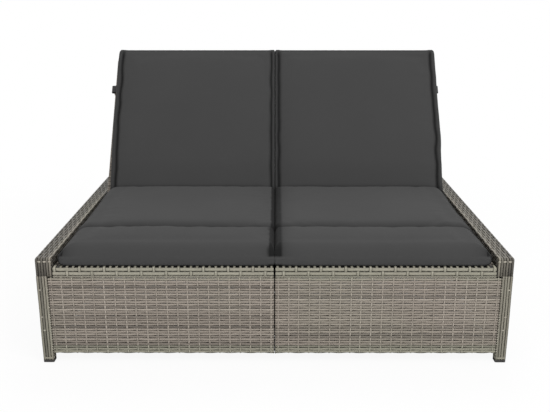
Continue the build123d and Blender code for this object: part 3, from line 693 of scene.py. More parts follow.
def buildArm(half, seed):
    size = armSizes
    weave = Weave("armWeave_" + half, (halves[half], 1, 1), seed)
    dice = weave.dice
    drop = size["topZ"] - size["bottomZ"]
    profile = lippedLine(size["innerX"], size["outerX"], drop, radius=size["cornerRadius"])
    pitch = profile.length / size["strandCount"]
    strands = (np.arange(size["strandCount"]) + 0.5) * pitch
    topSpots = np.arange(size["firstTop"], size["firstTop"] + size["topCount"])
    stakePitch, swing, middle = (strandSizes[key]
                                 for key in ("stakePitch", "swing", "middleDepth"))
    crossings = np.arange(size["firstCrossY"], size["endY"] - size["lastCross"], stakePitch)

    # Top strands: over the rail and down both ends
    over = lippedLine(-size["endY"], size["endY"], drop, radius=size["endRadius"], steps=5)
    topSheet = StrandSheet((0, 0, size["topZ"]), (0, 1, 0), (1, 0, 0), (0, 0, 1), over, profile)
    first = drop + size["endY"] - size["endSaving"] + size["firstCrossY"]
    at = spotsAlong(over.length, first, stakePitch / 4, (drop, drop))
    tie = drop - size["tieDepth"]
    ties = np.array([tie, over.length - tie])
    at = np.unique(np.concatenate([at, ties - size["tieRings"], ties, ties + size["tieRings"]]))
    numbers = np.arange(size["topCount"])
    wave = crossWave(at, first, stakePitch, numbers)
    fromMiddle = np.abs(at - over.length / 2)
    onEnd = np.clip((fromMiddle - size["endY"] + size["endFrom"]) / size["endReach"], 0, 1)
    fromTie = np.abs(fromMiddle - over.length / 2 + tie)
    dive = (numbers % 2 == 0)[:, None] * np.clip(1.5 - fromTie / size["tieReach"], 0, 1)[None]
    height = ((swing * wave - middle) * (1 - onEnd)
              - (size["endDepth"] + size["endDive"] * dive) * onEnd)
    tones = weave.tones(size["topCount"], size["topTone"], size["topSpread"])
    tones[:2] = [size["innerTone"], size["topTone"] + size["secondTone"]]
    weave.layOn(topSheet, at[None], strands[topSpots, None], height, pitch * size["widthShare"],
                strandSizes["rowThickness"], tones, size["olive"][0])

    # Side strands, straight along the rail. A line from end to end starts at -endY.
    straight = BentLine([(-size["endY"], 0), (size["endY"], 0)])
    railSheet = StrandSheet((0, 0, size["topZ"]), (1, 0, 0), (0, 1, 0), (0, 0, 1), profile,
                            straight)
    reach = size["endY"] - size["sideEnd"]
    at = np.arange(-reach, reach, stakePitch / 3)
    sides = np.setdiff1d(np.arange(size["strandCount"]), topSpots)
    wave = crossWave(at, size["firstCrossY"], stakePitch, sides - size["firstTop"])
    tones = weave.tones(len(sides), size["sideTone"], size["sideSpread"])
    # Painted shade: the strands on the arm's inner side get a dark tone, for the shade beside the cushion
    tones[sides < size["firstTop"]] = size["paintedShadeTone"]
    weave.layOn(railSheet, strands[sides, None], size["endY"] + at[None], swing * wave - middle,
                pitch * size["widthShare"], strandSizes["rowThickness"], tones,
                size["olive"][1])

    # Cross stakes, up one side, over the top and down the other
    at = np.linspace(0.0, profile.length, size["strandCount"] * 2 + 1)
    wave = -crossWave(at, 0.0, pitch, np.arange(len(crossings)) - 0.5 - size["firstTop"])
    most = size["crossDrift"]
    y = crossings + np.array([dice.uniform(-most, most) for crossing in crossings])
    weave.layOn(railSheet, at[None], size["endY"] + y[:, None], swing * wave - middle,
                strandSizes["stakeWidth"], strandSizes["stakeThickness"],
                weave.tones(len(crossings), size["crossTone"], size["crossSpread"]),
                size["olive"][1])

    # One tie across each end of the arm
    x = np.linspace(size["innerX"] + 0.001, size["outerX"] - 0.001, size["topCount"] * 4 + 1)
    for end in (-1, 1):
        wave = np.cos(2 * math.pi * (x - size["innerX"] - pitch / 2) / (2 * pitch))
        depth = size["tieCentre"][0] - size["tieCentre"][1] * wave
        centre = np.stack([x, end * (size["endY"] - depth),
                           np.full(len(x), size["topZ"] - size["tieDepth"])], axis=-1)[None]
        weave.addStrands(centre, (0, end, 0), size["tieWidth"], size["tieThickness"],
                         [size["tieTone"]], size["tieOlive"])
    return weave.finish("arm_weave_" + half)


# Legs: strands up all four faces, small ties, a lacing at the panel's edge and a wrap at the foot
legSizes = {
    "innerX": 0.668,
    "outerX": 0.700,
    "outerY": 0.760,
    "innerY": 0.728,
    "bottomZ": 0.0042,
    "topZ": 0.2748,
    "wrapZ": 0.0135,
    "wrapInset": 0.0002,
    "wrapRadius": 0.004,
    "wrapRings": 41,
    "wrapWidth": 0.0066,
    "wrapThickness": 0.0009,
    "wrapTone": 0.56,
    "rings": 34,
    "depth": 0.0011,
    "widthShare": 0.94,
    "tone": (0.37, 0.08),
    "olive": 0.7,
    "bow": 0.00025,
    "bowWaves": (25, 40),
    "bowPhase": 900,
    "endTuck": 0.0004,
    "endTuckZ": (0.010, 0.005),
    "laceX": 0.6694,
    "laceReach": (0.0021, 0.0022),
    "laceWidth": 0.0030,
    "laceTones": (0.95, 0.4),
    "paleLaceShare": 0.6,
    "archHeight": 0.0006,
    "tiesZ": (0.232, 0.146, 0.104),
    "tieShare": 0.9,
    "tieWidth": 0.0048,
    "tieThickness": 0.0010,
    "tieTone": 0.86,
    "tieOlive": 0.5,
}


def buildLegs(half, seed):
    size = legSizes
    weave = Weave("legWeave_" + half, (halves[half], 1, 1), seed)
    dice = weave.dice
    pitch = (size["outerX"] - size["innerX"]) / 4
    spots = (np.arange(4) + 0.5) * pitch
    z = np.linspace(size["bottomZ"], size["topZ"], size["rings"])
    for end in (-1, 1):
        faces = (
            ("y", end * (size["outerY"] - size["depth"]), (0, end, 0)),
            ("y", end * (size["innerY"] + size["depth"]), (0, -end, 0)),
            ("x", size["outerX"] - size["depth"], (1, 0, 0)),
            ("x", size["innerX"] + size["depth"], (-1, 0, 0)),
        )
        for axis, level, outward in faces:
            line = size["innerX"] + spots if axis == "y" else end * (size["innerY"] + spots)
            u, v = np.broadcast_arrays(line[:, None], z[None])
            bow = size["bow"] * np.sin(v * dice.uniform(*size["bowWaves"])
                                       + u * size["bowPhase"])
            # The lowest ends draw in a little towards the leg
            fromZ, overZ = size["endTuckZ"]
            tuck = np.clip((fromZ - v) / overZ, 0, 1) * size["endTuck"]
            flat = np.full(u.shape, level) - np.sign(sum(outward)) * tuck
            if axis == "y":
                centre = np.stack([u + bow, flat, v], axis=-1)
            else:
                centre = np.stack([flat, u + bow, v], axis=-1)
            weave.addStrands(centre, outward, pitch * size["widthShare"],
                             strandSizes["rowThickness"],
                             weave.tones(len(spots), *size["tone"]), size["olive"])
        # Wrap above the foot
        middleX = (size["innerX"] + size["outerX"]) / 2
        left, right = size["innerX"] + size["wrapInset"], size["outerX"] - size["wrapInset"]
        near, far = size["innerY"] + size["wrapInset"], size["outerY"] - size["wrapInset"]
        ring = BentLine([(middleX, far), (right, far), (right, near), (left, near), (left, far),
                         (middleX, far)], radius=size["wrapRadius"])
        at = np.linspace(0, ring.length, size["wrapRings"])
        spot, out = ring.at(at)
        centre = np.stack([spot[:, 0], end * spot[:, 1],
                           np.full(len(at), size["wrapZ"])], axis=-1)[None]
        hint = np.stack([out[:, 0], end * out[:, 1], np.zeros(len(at))], axis=-1)[None]
        weave.addStrands(centre, hint, size["wrapWidth"], size["wrapThickness"],
                         [size["wrapTone"]], size["olive"])
        # Lacing: a stitch at each row where the panel meets the leg
        rowsZ = (panelSizes["firstRowZ"]
                 + np.arange(panelSizes["rowCount"]) * strandSizes["rowPitch"])
        turn = np.linspace(-1, 1, 5)
        arch = size["archHeight"] * (1 - turn ** 2)
        laceX, laceZ = size["laceReach"]
        u, v = np.broadcast_arrays(size["laceX"] + turn[None] * laceX, rowsZ[:, None])
        centre = np.stack([u, end * (size["outerY"] - size["depth"] + arch[None] + 0 * u),
                           v + turn[None] * laceZ], axis=-1)
        pale, dark = size["laceTones"]
        tones = [pale if dice.random() < size["paleLaceShare"] else dark for row in rowsZ]
        weave.addStrands(centre, (0, end, 0), size["laceWidth"], size["tieThickness"], tones,
                         size["tieOlive"])
        # A few short ties
        for tieZ in size["tiesZ"]:
            x = (size["innerX"] + pitch * (1 + 2 * dice.random())
                 + np.linspace(0, pitch * size["tieShare"], len(arch)))
            centre = np.stack([x, end * (size["outerY"] - size["depth"] + arch),
                               np.full(len(arch), tieZ)], axis=-1)[None]
            weave.addStrands(centre, (0, end, 0), size["tieWidth"], size["tieThickness"],
                             [size["tieTone"]], size["tieOlive"])
    return weave.finish("leg_weave_" + half)


# Seat decks and backrests: rows across, stakes along, wrapped at all four edges
deckSizes = {
    "innerX": 0.0062,
    "outerX": 0.6498,
    "low": -0.7278,
    "high": -0.0082,
    "level": 0.3038,
    "lipDepth": 0.026,
    "firstRow": 0.006,
    "lastRow": 0.003,
    "firstStake": 0.012,
    "lastStake": 0.004,
    "firstLipRow": 0.0042,
    "fineness": 2,
}
backSizes = {
    **deckSizes,
    "innerX": 0.0052,
    "outerX": 0.6378,
    "low": -0.0158,
    "high": 0.6548,
    "level": 0.0158,
    "fineness": 3,
}


def buildDeck(size, name, half, seed, origin, alongAxis, outAxis, node, body):
    weave = Weave(name + "_" + half, (halves[half], 1, 1), seed)
    depth = size["lipDepth"]
    across = lippedLine(size["innerX"], size["outerX"], depth)
    along = lippedLine(size["low"], size["high"], depth)
    sheet = StrandSheet(origin, (1, 0, 0), alongAxis, outAxis, across, along)
    rowPitch, stakePitch = strandSizes["rowPitch"], strandSizes["stakePitch"]
    rows = np.arange(depth + size["firstRow"], along.length - depth - size["lastRow"], rowPitch)
    stakes = np.arange(depth + size["firstStake"], across.length - depth - size["lastStake"],
                       stakePitch)
    plainWeave(weave, sheet, rows, stakes, (depth, depth), (depth, depth), size["fineness"])
    # More rows down the lips at the two ends
    at = np.linspace(depth - 0.001, across.length - depth + 0.001, len(stakes) * 4 + 1)
    steps = np.arange(size["firstLipRow"], depth - 0.002, rowPitch)
    lips = np.concatenate([steps, along.length - steps])
    wave = crossWave(at, stakes[0], stakePitch, range(len(lips)))
    weave.layOn(sheet, at[None], lips[:, None],
                strandSizes["swing"] * wave - strandSizes["wrapDepth"],
                rowPitch * strandSizes["rowWidthShare"], strandSizes["rowThickness"],
                weave.tones(len(lips), strandSizes["tone"], strandSizes["toneSpread"],
                            strandSizes["darkEvery"]))
    return weave.finish(node + "_" + half, body=body)


for count, (half, side) in enumerate(halves.items()):
    buildEndPanel("front", half, (side, 1, 1), 11 + count)
    buildEndPanel("rear", half, (side, -1, 1), 21 + count)
    buildSidePanel(half, 31 + count)
    buildArm(half, 41 + count)
    buildLegs(half, 51 + count)
    buildDeck(deckSizes, "seatWeave", half, 61 + count, (0, 0, deckSizes["level"]),
              (0, 1, 0), (0, 0, 1), "seat_weave", "base")
    buildDeck(backSizes, "backWeave", half, 71 + count, (0, *hingeFrame(0, backSizes["level"])),
              (0, math.cos(backTilt), math.sin(backTilt)),
              (0, -math.sin(backTilt), math.cos(backTilt)), "back_weave", "backrest_" + half)
    print("weaves done:", half)


# Cushions: one long pad a side, folded twice. The shape is two sheets on a rounded outline,
# the top one crowned in three panels with a seam round them, the lower one flat.
cushionSizes = {
    # Outline
    "innerX": -0.0036,
    "contactX": 0.00003,
    "seatOuterX": 0.6405,
    "backOuterX": {"right": 0.6400, "left": 0.6275},
    "outerTuck": 0.006,
    "tuckReach": 0.03,
    "tuckEnd": (0.05, 0.32),
    "frontY": -0.7560,
    "foldY": -0.5310,
    "restZ": 0.3045,
    "restN": 0.0165,
    "headS": 0.6650,
    "cornerRadius": (0.005, 0.011),
    "frontRadius": (0.010, 0.024),
    "outerWaves": (0.0008, 0.0012, 0.0006),
    "outerWaveShares": (1.7, 0.6),
    "backCalmShare": 0.7,
    "foldNarrowing": 0.002,
    # Grid
    "acrossSteps": (0.0028, 0.0140),
    "alongSteps": (0.0060, 0.0120),
    "edgeSteps": (0.0, 0.0012, 0.0034, 0.0066),
    "bandStart": 0.0100,
    "pastBand": (0.0060, 0.012, 0.021),
    "creaseSteps": (0.0, 0.0020, 0.0050, 0.0095, 0.0150),
    "creaseRoom": 0.020,
    # Heights
    "seatHeight": 0.0665,
    "footDrop": 0.0015,
    "footDropReach": 0.03,
    "seatRise": 0.0090,
    "seatRiseSpan": (0.26, 0.24),
    "backHeight": 0.0600,
    "backHollow": 0.0120,
    "backHollowReach": 0.16,
    "rimShare": 0.34,
    "seamSink": 0.004,
    "crown": 0.0035,
    "crownReach": 0.05,
    "unevenness": 0.0010,
    "unevenReach": 0.04,
    "pucker": 0.0007,
    "puckerPlace": (0.006, -0.020),
    "puckerReach": 0.014,
    # Side and end bands, with their seams
    "seatBand": 0.055,
    "backBand": 0.023,
    "innerBand": 0.018,
    "frontBand": 0.052,
    "lowBand": 0.006,
    "headBand": 0.008,
    "bandWave": 0.0007,
    "backTurn": 0.013,
    "sidePowers": {"back": 0.8, "inner": 1.3, "outer": 2.0},
    "frontPower": 1.35,
    "seamDepth": 0.0085,
    "seamRipple": 0.2,
    "seamWidth": {"right": 0.0058, "left": 0.0036},
    "outerSeamWidth": 0.0048,
    "seamStartShare": 0.6,
    "seamStartReach": 0.02,
    "seatSeamShare": 0.1,
    "headSeamShare": 0.5,
    "headSeamWidth": 0.0042,
    "headSeamReach": 0.01,
    # Fold and bend
    "foldShare": 0.62,
    "foldRadius": (0.014, 0.044),
    "foldWave": 0.0010,
    "foldEndReach": 0.014,
    "foldEndShare": 0.3,
    "bendShare": 0.93,
    "bendRadius": 0.010,
    "bendSpread": 0.045,
    "leanPower": 2.0,
    "backFrom": 0.008,
    "backReach": 0.03,
    # Painted shade in the seams, creases, fold, bend and the bands beside the arm and the other pad, as shares of
    # the seam's shade
    "creaseWidth": 0.0036,
    "armShade": 0.018,
    "valleyShade": {"right": 0.0215, "left": 0.0145},
    "valleyFade": {"right": 0.38, "left": 0.12},
    "armFade": 0.50,
    "footValleyMore": 0.0035,
    "shadeWaves": (0.0016, 0.0012),
    "shadeWaveShares": {"inner": 0.6, "outer": 0.5},
    "shadeEdge": 0.0040,
    "fadeReach": 0.016,
    "backBandShare": 0.2,
    "endClearance": 0.003,
    "foldShade": 0.30,
    "beforeFoldShade": (0.38, 0.030),
    "bendShade": 0.35,
    "overBendShade": (0.40, 0.050, 0.0050),
    # Swelling
    "heldFrom": 0.004,
    "heldReach": 0.05,
    "pressure": 4.0,
    "stretch": 0.012,
    "quality": 4,
    "frames": 14,
    "mostMove": 0.006,
    "blendReach": 0.055,
}
# Count, lowest and highest wave number of the slow, the middling and the quick waves
cushionWaves = ((5, 6, 17), (6, 30, 70), (4, 150, 260))


def wavesOver(dice, count, low, high):
    # A sum of sine waves in two directions, about -1 to 1
    waves = [(dice.uniform(low, high), dice.uniform(low, high) * (-1) ** k, dice.uniform(0, 6.28))
             for k in range(count)]
    return lambda a, b: sum(np.sin(a * p + b * q + r) for p, q, r in waves) / math.sqrt(count)


def edgeSpots(length, bands, steps, creases=()):
    # Grid lines along one direction: close through the side bands, the seams and the creases
    size = cushionSizes
    fine, coarse = steps
    past = size["pastBand"]
    low, high = (np.concatenate([size["edgeSteps"],
                                 np.arange(size["bandStart"],
                                           max(band + past[0], size["bandStart"] + 0.001), fine),
                                 [band + past[1], band + past[2]]]) for band in bands)
    count = int(round((length - low[-1] - high[-1]) / coarse))
    spots = np.concatenate([low[:-1], np.linspace(low[-1], length - high[-1], count + 1),
                            length - high[-2::-1]])
    beside = np.array(size["creaseSteps"])
    for crease in creases:
        spots = np.concatenate([spots[np.abs(spots - crease) > size["creaseRoom"]],
                                crease - beside[:0:-1], crease + beside])
    return np.sort(spots)


def roundOver(distance, reach):
    # From 0 at an edge to 1 at reach inside it, along a quarter of an ellipse
    return np.sqrt(1 - (1 - np.clip(distance / reach, 0, 1)) ** 2)


def hump(distance, width):
    return np.exp(-(distance / width) ** 2)


class Pad:
    # A cushion laid out flat: a runs across it from the inner edge, b along it from the foot end
    def __init__(self, half, seed):
        size = cushionSizes
        self.half = half
        # The bottom line's two runs meet where the seat's rest level meets the backrest's face
        meet = (size["restZ"] - hinge.z - size["restN"] * math.cos(backTilt)) / math.sin(backTilt)
        self.meetY = hingeFrame(meet, size["restN"])[0]
        self.seatRun = self.meetY - size["frontY"]
        self.length = self.seatRun + size["headS"] - meet
        self.width = size["seatOuterX"] - size["innerX"]
        self.foldAt = size["foldY"] - size["frontY"]
        self.layOut()
        dice = random.Random(seed)
        self.slow, self.middling, self.quick = (wavesOver(dice, *span) for span in cushionWaves)
        self.findFolds()
        self.findBands()

    def layOut(self):
        # The grid, with its square corners drawn in to round ones
        size = cushionSizes
        a, b = np.meshgrid(
            edgeSpots(self.width, (size["innerBand"], size["backBand"]), size["acrossSteps"]),
            edgeSpots(self.length, (size["frontBand"], size["headBand"]), size["alongSteps"],
                      (self.foldAt, self.seatRun)))
        self.isInner, isFront = a < self.width / 2, b < self.length / 2
        radius = np.where(isFront, np.where(self.isInner, *size["frontRadius"]),
                          np.where(self.isInner, *size["cornerRadius"]))
        self.nearA = np.minimum(a, self.width - a)
        self.nearB = np.minimum(b, self.length - b)
        offA, offB = (np.clip(radius - near, 0, None) for near in (self.nearA, self.nearB))
        self.inCorner = (offA > 0) & (offB > 0)
        longest = np.maximum(offA, offB)
        pull = np.where(self.inCorner, 1 - longest / np.maximum(np.hypot(offA, offB), 1e-9), 0)
        self.edge = np.where(self.inCorner, radius - longest, np.minimum(self.nearA, self.nearB))
        self.a = a + pull * offA * np.where(self.isInner, 1, -1)
        self.b = b + pull * offB * np.where(isFront, 1, -1)

    def findFolds(self):
        # The fold and the bend, each as a dip from 0 to 1
        size = cushionSizes
        self.pastBend = self.b - self.seatRun
        self.toBack = smooth((self.pastBend + size["backFrom"]) / size["backReach"])
        self.onBack = self.toBack > 0.5
        self.fromFold = self.b - self.foldAt - size["foldWave"] * self.middling(self.a, 0)
        reach = np.where(self.fromFold < 0, *size["foldRadius"])
        self.foldDip = 1 - roundOver(np.abs(self.fromFold), reach)
        self.bendDip = 1 - roundOver(np.abs(self.pastBend), size["bendRadius"])

    def findBands(self):
        # The bands round the panels, and the distance inside them
        size = cushionSizes
        band = size["seatBand"] + (size["backBand"] - size["seatBand"]) * self.toBack
        band = np.where(self.isInner, size["innerBand"], band)
        self.sideBand = band + size["bandWave"] * self.middling(self.b, 0)
        self.endBand = np.where(self.b < self.length / 2, size["frontBand"], size["headBand"])
        self.inside = np.minimum(self.nearA - self.sideBand, self.nearB - self.endBand)

    def seams(self):
        size = cushionSizes
        wide = np.where(self.isInner, size["seamWidth"][self.half], size["outerSeamWidth"])
        started = (self.nearB - self.endBand * size["seamStartShare"]) / size["seamStartReach"]
        side = hump(self.nearA - self.sideBand, wide) * np.clip(started, 0, 1)
        side *= np.where(self.onBack, 1, size["seatSeamShare"])
        head = hump(self.length - self.b - size["headBand"], size["headSeamWidth"])
        head *= np.clip((self.nearA - self.sideBand) / size["headSeamReach"], 0, 1)
        return np.maximum(side, size["headSeamShare"] * head)

    def bulge(self):
        # From 0 at the outline to 1 on the panels
        size = cushionSizes
        powers = size["sidePowers"]
        turn = self.sideBand + (size["backTurn"] - self.sideBand) * self.toBack
        ends = size["foldEndReach"] * (self.foldDip ** 0.5 + self.bendDip ** 0.5)
        drawnIn = np.clip(ends - size["foldEndShare"] * self.nearA, 0, None)
        side = roundOver(self.nearA - drawnIn, turn)
        side = side ** np.where(self.onBack, powers["back"],
                                np.where(self.isInner, powers["inner"], powers["outer"]))
        end = roundOver(self.nearB, self.endBand) ** np.where(self.onBack, 1, size["frontPower"])
        both = np.minimum(side, end)
        return np.where(self.inCorner, np.minimum(both, roundOver(self.edge, turn)), both)

    def crown(self):
        # Each of the three panels is highest in its middle
        crown = np.zeros_like(self.b)
        starts = (-0.05, self.foldAt, self.seatRun)
        for low, high in zip(starts, (self.foldAt, self.seatRun, self.length)):
            share = np.clip((self.b - low) / (high - low), 0, 1)
            crown = np.maximum(crown, np.sin(math.pi * share) ** 0.5)
        return crown * np.sin(math.pi * np.clip(self.a / self.width, 0, 1)) ** 0.5

    def heights(self, seam):
        # Of the top and of the lower sheet: a bulging band up to the seam, then a crowned panel
        size = cushionSizes
        full = size["seatHeight"] - size["footDrop"] * (
            1 - smooth(self.fromFold / size["footDropReach"] + 0.5))
        start, reach = size["seatRiseSpan"]
        full += size["seatRise"] * smooth((self.pastBend + start) / reach)
        hollow = 1 - smooth(self.pastBend / size["backHollowReach"])
        full = full + (size["backHeight"] - size["backHollow"] * hollow - full) * self.toBack
        rim = full * size["rimShare"]
        top = rim + (full - size["seamSink"] - rim) * self.bulge()
        top += size["crown"] * self.crown() * smooth(self.inside / size["crownReach"])
        ripple = self.quick(self.a, self.b)
        top -= seam * size["seamDepth"] * (1 + size["seamRipple"] * ripple)
        beside = np.where(self.isInner | self.onBack, *size["puckerPlace"])
        top += size["pucker"] * ripple * hump(self.nearA - self.sideBand - beside,
                                              size["puckerReach"])
        top += size["unevenness"] * self.slow(self.a, self.b) * smooth(
            self.inside / size["unevenReach"])
        for share, dip in ((size["foldShare"], self.foldDip), (size["bendShare"], self.bendDip)):
            top = rim + (top - rim) * (1 - (1 - share) * dip)
        return top, rim * (1 - roundOver(self.edge, size["lowBand"]))

    def shade(self, seam):
        # Painted shade: darker in the seams, the creases, the fold and the bend, before the fold and just over the
        # bend, and in bands beside the arm and the other pad, where shade falls
        size = cushionSizes
        waves = (self.middling(self.b, 0), self.quick(self.b * size["outerWaveShares"][1], 0))
        wavy = sum(share * wave for share, wave in zip(size["shadeWaves"], waves))
        shares = size["shadeWaveShares"]
        inner = size["valleyShade"][self.half] + size["footValleyMore"] * (self.fromFold < 0)
        reach = np.where(self.isInner, inner + shares["inner"] * wavy,
                         size["armShade"] + shares["outer"] * wavy)
        paintedBandShade = 1 - smooth((self.nearA - reach) / size["shadeEdge"])
        fade = np.where(self.isInner, size["valleyFade"][self.half], size["armFade"])
        fade = fade * np.exp(-np.clip(self.nearA - reach, 0, None) / size["fadeReach"])
        paintedBandShade = np.maximum(paintedBandShade, fade) * np.where(self.onBack, size["backBandShare"], 1)
        creases = (hump(self.fromFold, size["creaseWidth"])
                   + hump(self.pastBend, size["creaseWidth"]))
        shade = np.maximum(np.maximum(seam, paintedBandShade * (self.nearB > size["endClearance"])), creases)
        share, reach = size["beforeFoldShade"]
        before = share * hump(self.fromFold, reach) * (self.fromFold > 0)
        shade = shade + size["foldShade"] * self.foldDip ** 2 + before * (1 - shade)
        share, place, width = size["overBendShade"]
        shade += size["bendShade"] * self.bendDip ** 2 + share * hump(self.pastBend - place, width)
        return np.clip(shade, 0, 1)

    def held(self):
        # Sewn or lying on something, so it keeps its place while the panels swell
        inside = smooth((self.inside - cushionSizes["heldFrom"]) / cushionSizes["heldReach"])
        return np.clip(np.maximum(1 - inside, self.foldDip + self.bendDip), 0, 1)

    def outerLine(self):
        # The outer side draws in up the backrest
        size = cushionSizes
        seatX, backX = size["seatOuterX"], size["backOuterX"][self.half]
        start, reach = size["tuckEnd"]
        tuck = size["outerTuck"] * smooth(self.pastBend / size["tuckReach"])
        tuck = tuck * (1 - smooth((self.pastBend - start) / reach))
        slow, middling, quick = size["outerWaves"]
        stretched = [self.b * share for share in size["outerWaveShares"]]
        outer = seatX + (backX - seatX) * self.toBack - tuck
        outer = outer - slow * self.slow(stretched[0], 0) - size["foldNarrowing"] * self.foldDip
        waves = middling * self.middling(self.b, 0) + quick * self.quick(stretched[1], 0)
        return outer - waves * (1 - size["backCalmShare"] * self.toBack)

    def place(self, height):
        # Into the room: the pad leans over in the bend
        size = cushionSizes
        innerX = size["innerX"]
        x = np.maximum(innerX + (self.outerLine() - innerX) * self.a / self.width,
                       size["contactX"])
        y = np.where(self.pastBend < 0, size["frontY"] + self.b,
                     self.meetY + self.pastBend * math.cos(backTilt))
        z = size["restZ"] + np.clip(self.pastBend, 0, None) * math.sin(backTilt)
        bent = 0.5 + 0.5 * np.clip(self.pastBend / size["bendSpread"], -1, 1)
        lean = backTilt * bent ** size["leanPower"]
        return np.stack([x * halves[self.half], y - height * np.sin(lean),
                         z + height * np.cos(lean)], axis=-1)


def inflate(piece):
    # Pressure swells the panels between the sewn lines, as far as mostMove
    size, mesh, scene = cushionSizes, piece.data, bpy.context.scene
    count = len(mesh.vertices)
    places = np.empty(count * 4)
    mesh.attributes["clothPlaceAndPaintedShade"].data.foreach_get("color", places)
    sewn = piece.vertex_groups.new(name="sewn")
    for index, hold in enumerate(places[2::4]):
        sewn.add([index], float(hold), "REPLACE")
    start, end = np.empty(count * 3), np.empty(count * 3)
    mesh.vertices.foreach_get("co", start)
    swelling = piece.modifiers.new("swelling", "CLOTH")
    settings = swelling.settings
    settings.use_pressure = True
    settings.uniform_pressure_force = size["pressure"]
    settings.effector_weights.gravity = 0
    settings.vertex_group_mass = "sewn"
    settings.shrink_min = -size["stretch"]
    settings.quality = size["quality"]
    swelling.point_cache.frame_end = size["frames"] + 1
    for step in range(1, size["frames"] + 1):
        scene.frame_set(step)
    swollen = piece.evaluated_get(bpy.context.evaluated_depsgraph_get())
    swollen.data.vertices.foreach_get("co", end)
    piece.modifiers.remove(swelling)
    piece.vertex_groups.remove(sewn)
    scene.frame_set(1)
    move = (end - start).reshape(-1, 3)
    far = np.linalg.norm(move, axis=1, keepdims=True)
    move *= size["mostMove"] / (size["mostMove"] + far)
    print("cushion moved, mean and most:", round(float(far.mean()), 4), round(float(far.max()), 4))
    mesh.vertices.foreach_set("co", (start.reshape(-1, 3) + move).ravel())
    mesh.update()


def buildCushion(half, seed):
    pad = Pad(half, seed)
    seam = pad.seams()
    top, low = pad.heights(seam)
    # shade is the painted shade, which the cloth material darkens its colour by
    held, shade = pad.held(), pad.shade(seam)
    bm = bmesh.new()
    layer = bm.verts.layers.float_color.new("clothPlaceAndPaintedShade")
    for height, hold in ((top, held), (low, np.ones_like(held))):
        marks = np.stack([pad.a, pad.b, hold, shade], axis=-1).reshape(-1, 4).tolist()
        points = pad.place(height).reshape(-1, 3).tolist()
        rows, columns = height.shape
        grid = bmesh.ops.create_grid(bm, x_segments=columns - 1, y_segments=rows - 1,
                                     size=1.0)["verts"]
        for vert, point, mark in zip(grid, points, marks):
            vert.co = point
            vert[layer] = mark
    bmesh.ops.remove_doubles(bm, verts=bm.verts, dist=1e-5)
    piece = finishPiece(bm, "cushion_" + half, cloth)
    inflate(piece)
    smoothing = piece.modifiers.new("smoothing", "SUBSURF")
    smoothing.levels = smoothing.render_levels = 1
    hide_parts("foot_cushion_" + half, "seat_cushion_" + half, "back_cushion_" + half)
    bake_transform(piece)


for count, half in enumerate(halves):
    buildCushion(half, 81 + count)
print("cushions done")


# Straps: a loop of webbing round each backrest, sewn to the cushion's outer side
strapSizes = {
    "middleS": 0.508,
    "width": 0.030,
    "innerX": 0.0042,
    "sideX": 0.6410,
    "tabX": 0.6500,
    "seamX": 0.6250,
    "backN": -0.0172,
    "tabN": (0.0105, 0.0130, 0.0190),
    "frontN": 0.0235,
    "thickness": 0.0013,
    "foldRadius": 0.0025,
    "step": 0.012,
}


def buildStrap(half):
    size = strapSizes
    route = BentLine([(size["innerX"], size["frontN"]), (size["innerX"], size["backN"]),
                      (size["sideX"], size["backN"]), (size["sideX"], size["tabN"][0]),
                      (size["tabX"], size["tabN"][1]), (size["tabX"], size["tabN"][2]),
                      (size["seamX"], size["frontN"])], radius=size["foldRadius"], steps=5)
    at = np.unique(np.concatenate([route.marks, np.arange(0, route.length, size["step"])]))
    spots = route.at(at)[0]
    edge = np.linspace(-0.5, 0.5, 7) * size["width"]
    bm = bmesh.new()
    grid = bmesh.ops.create_grid(bm, x_segments=len(at) - 1, y_segments=len(edge) - 1,
                                 size=1.0)["verts"]
    places = [(x * halves[half],) + hingeFrame(size["middleS"] + across, n)
              for across in edge for x, n in spots]
    for vert, place in zip(grid, places):
        vert.co = place
    piece = finishPiece(bm, "strap_" + half, finishes["strapWebbing"])
    wall = piece.modifiers.new("wall", "SOLIDIFY")
    wall.thickness, wall.offset = size["thickness"], 0.0
    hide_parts("cushion_strap_" + half)
    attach(piece, "backrest_" + half)
    return piece


for half in halves:
    buildStrap(half)
print("straps done")


# The CAD nodes that stay get the finish of their material slot
slotFinishes = {
    "powder_coat": "powderCoat",
    "zinc_steel": "zincSteel",
    "black_nylon": "blackNylon",
    "strap_webbing": "strapWebbing",
}


def dressNodes():
    slots = {entry["node"]: entry["material_slot"] for entry in frame["record"]["subparts"]}
    for name, node in frame["nodes"].items():
        finish = finishes.get(slotFinishes.get(slots.get(name), ""), finishes["powderCoat"])
        for place in node.material_slots:
            place.material = finish


dressNodes()


# Studio: white floor and surroundings, soft light from above and from both front sides
studio = {
    "floorReach": 30.0,
    "floorColour": (0.86, 0.86, 0.86, 1.0),
    "floorWearScales": (0.4, 40.0),
    "paleShare": 1.02,
    "floorRoughness": 0.9,
    "floorSpecular": 0.1,
    "seenWhite": 0.92,
    "whiteFrom": (1.2, 2.6),
    "under": ((0.0, 0.690), (0.039, 0.711)),
    "underBlur": 0.012,
    "worldStrength": 0.56,
    "lampSize": 2.6,
    "lampAim": (0, -0.1, 0.25),
}
# Power and place of each lamp
lamps = {
    "keyLight": (120.0, (2.4, -3.4, 3.6)),
    "fillLight": (36.0, (-2.6, -3.6, 2.2)),
    "topLight": (74.0, (0.2, 2.2, 4.0)),
}


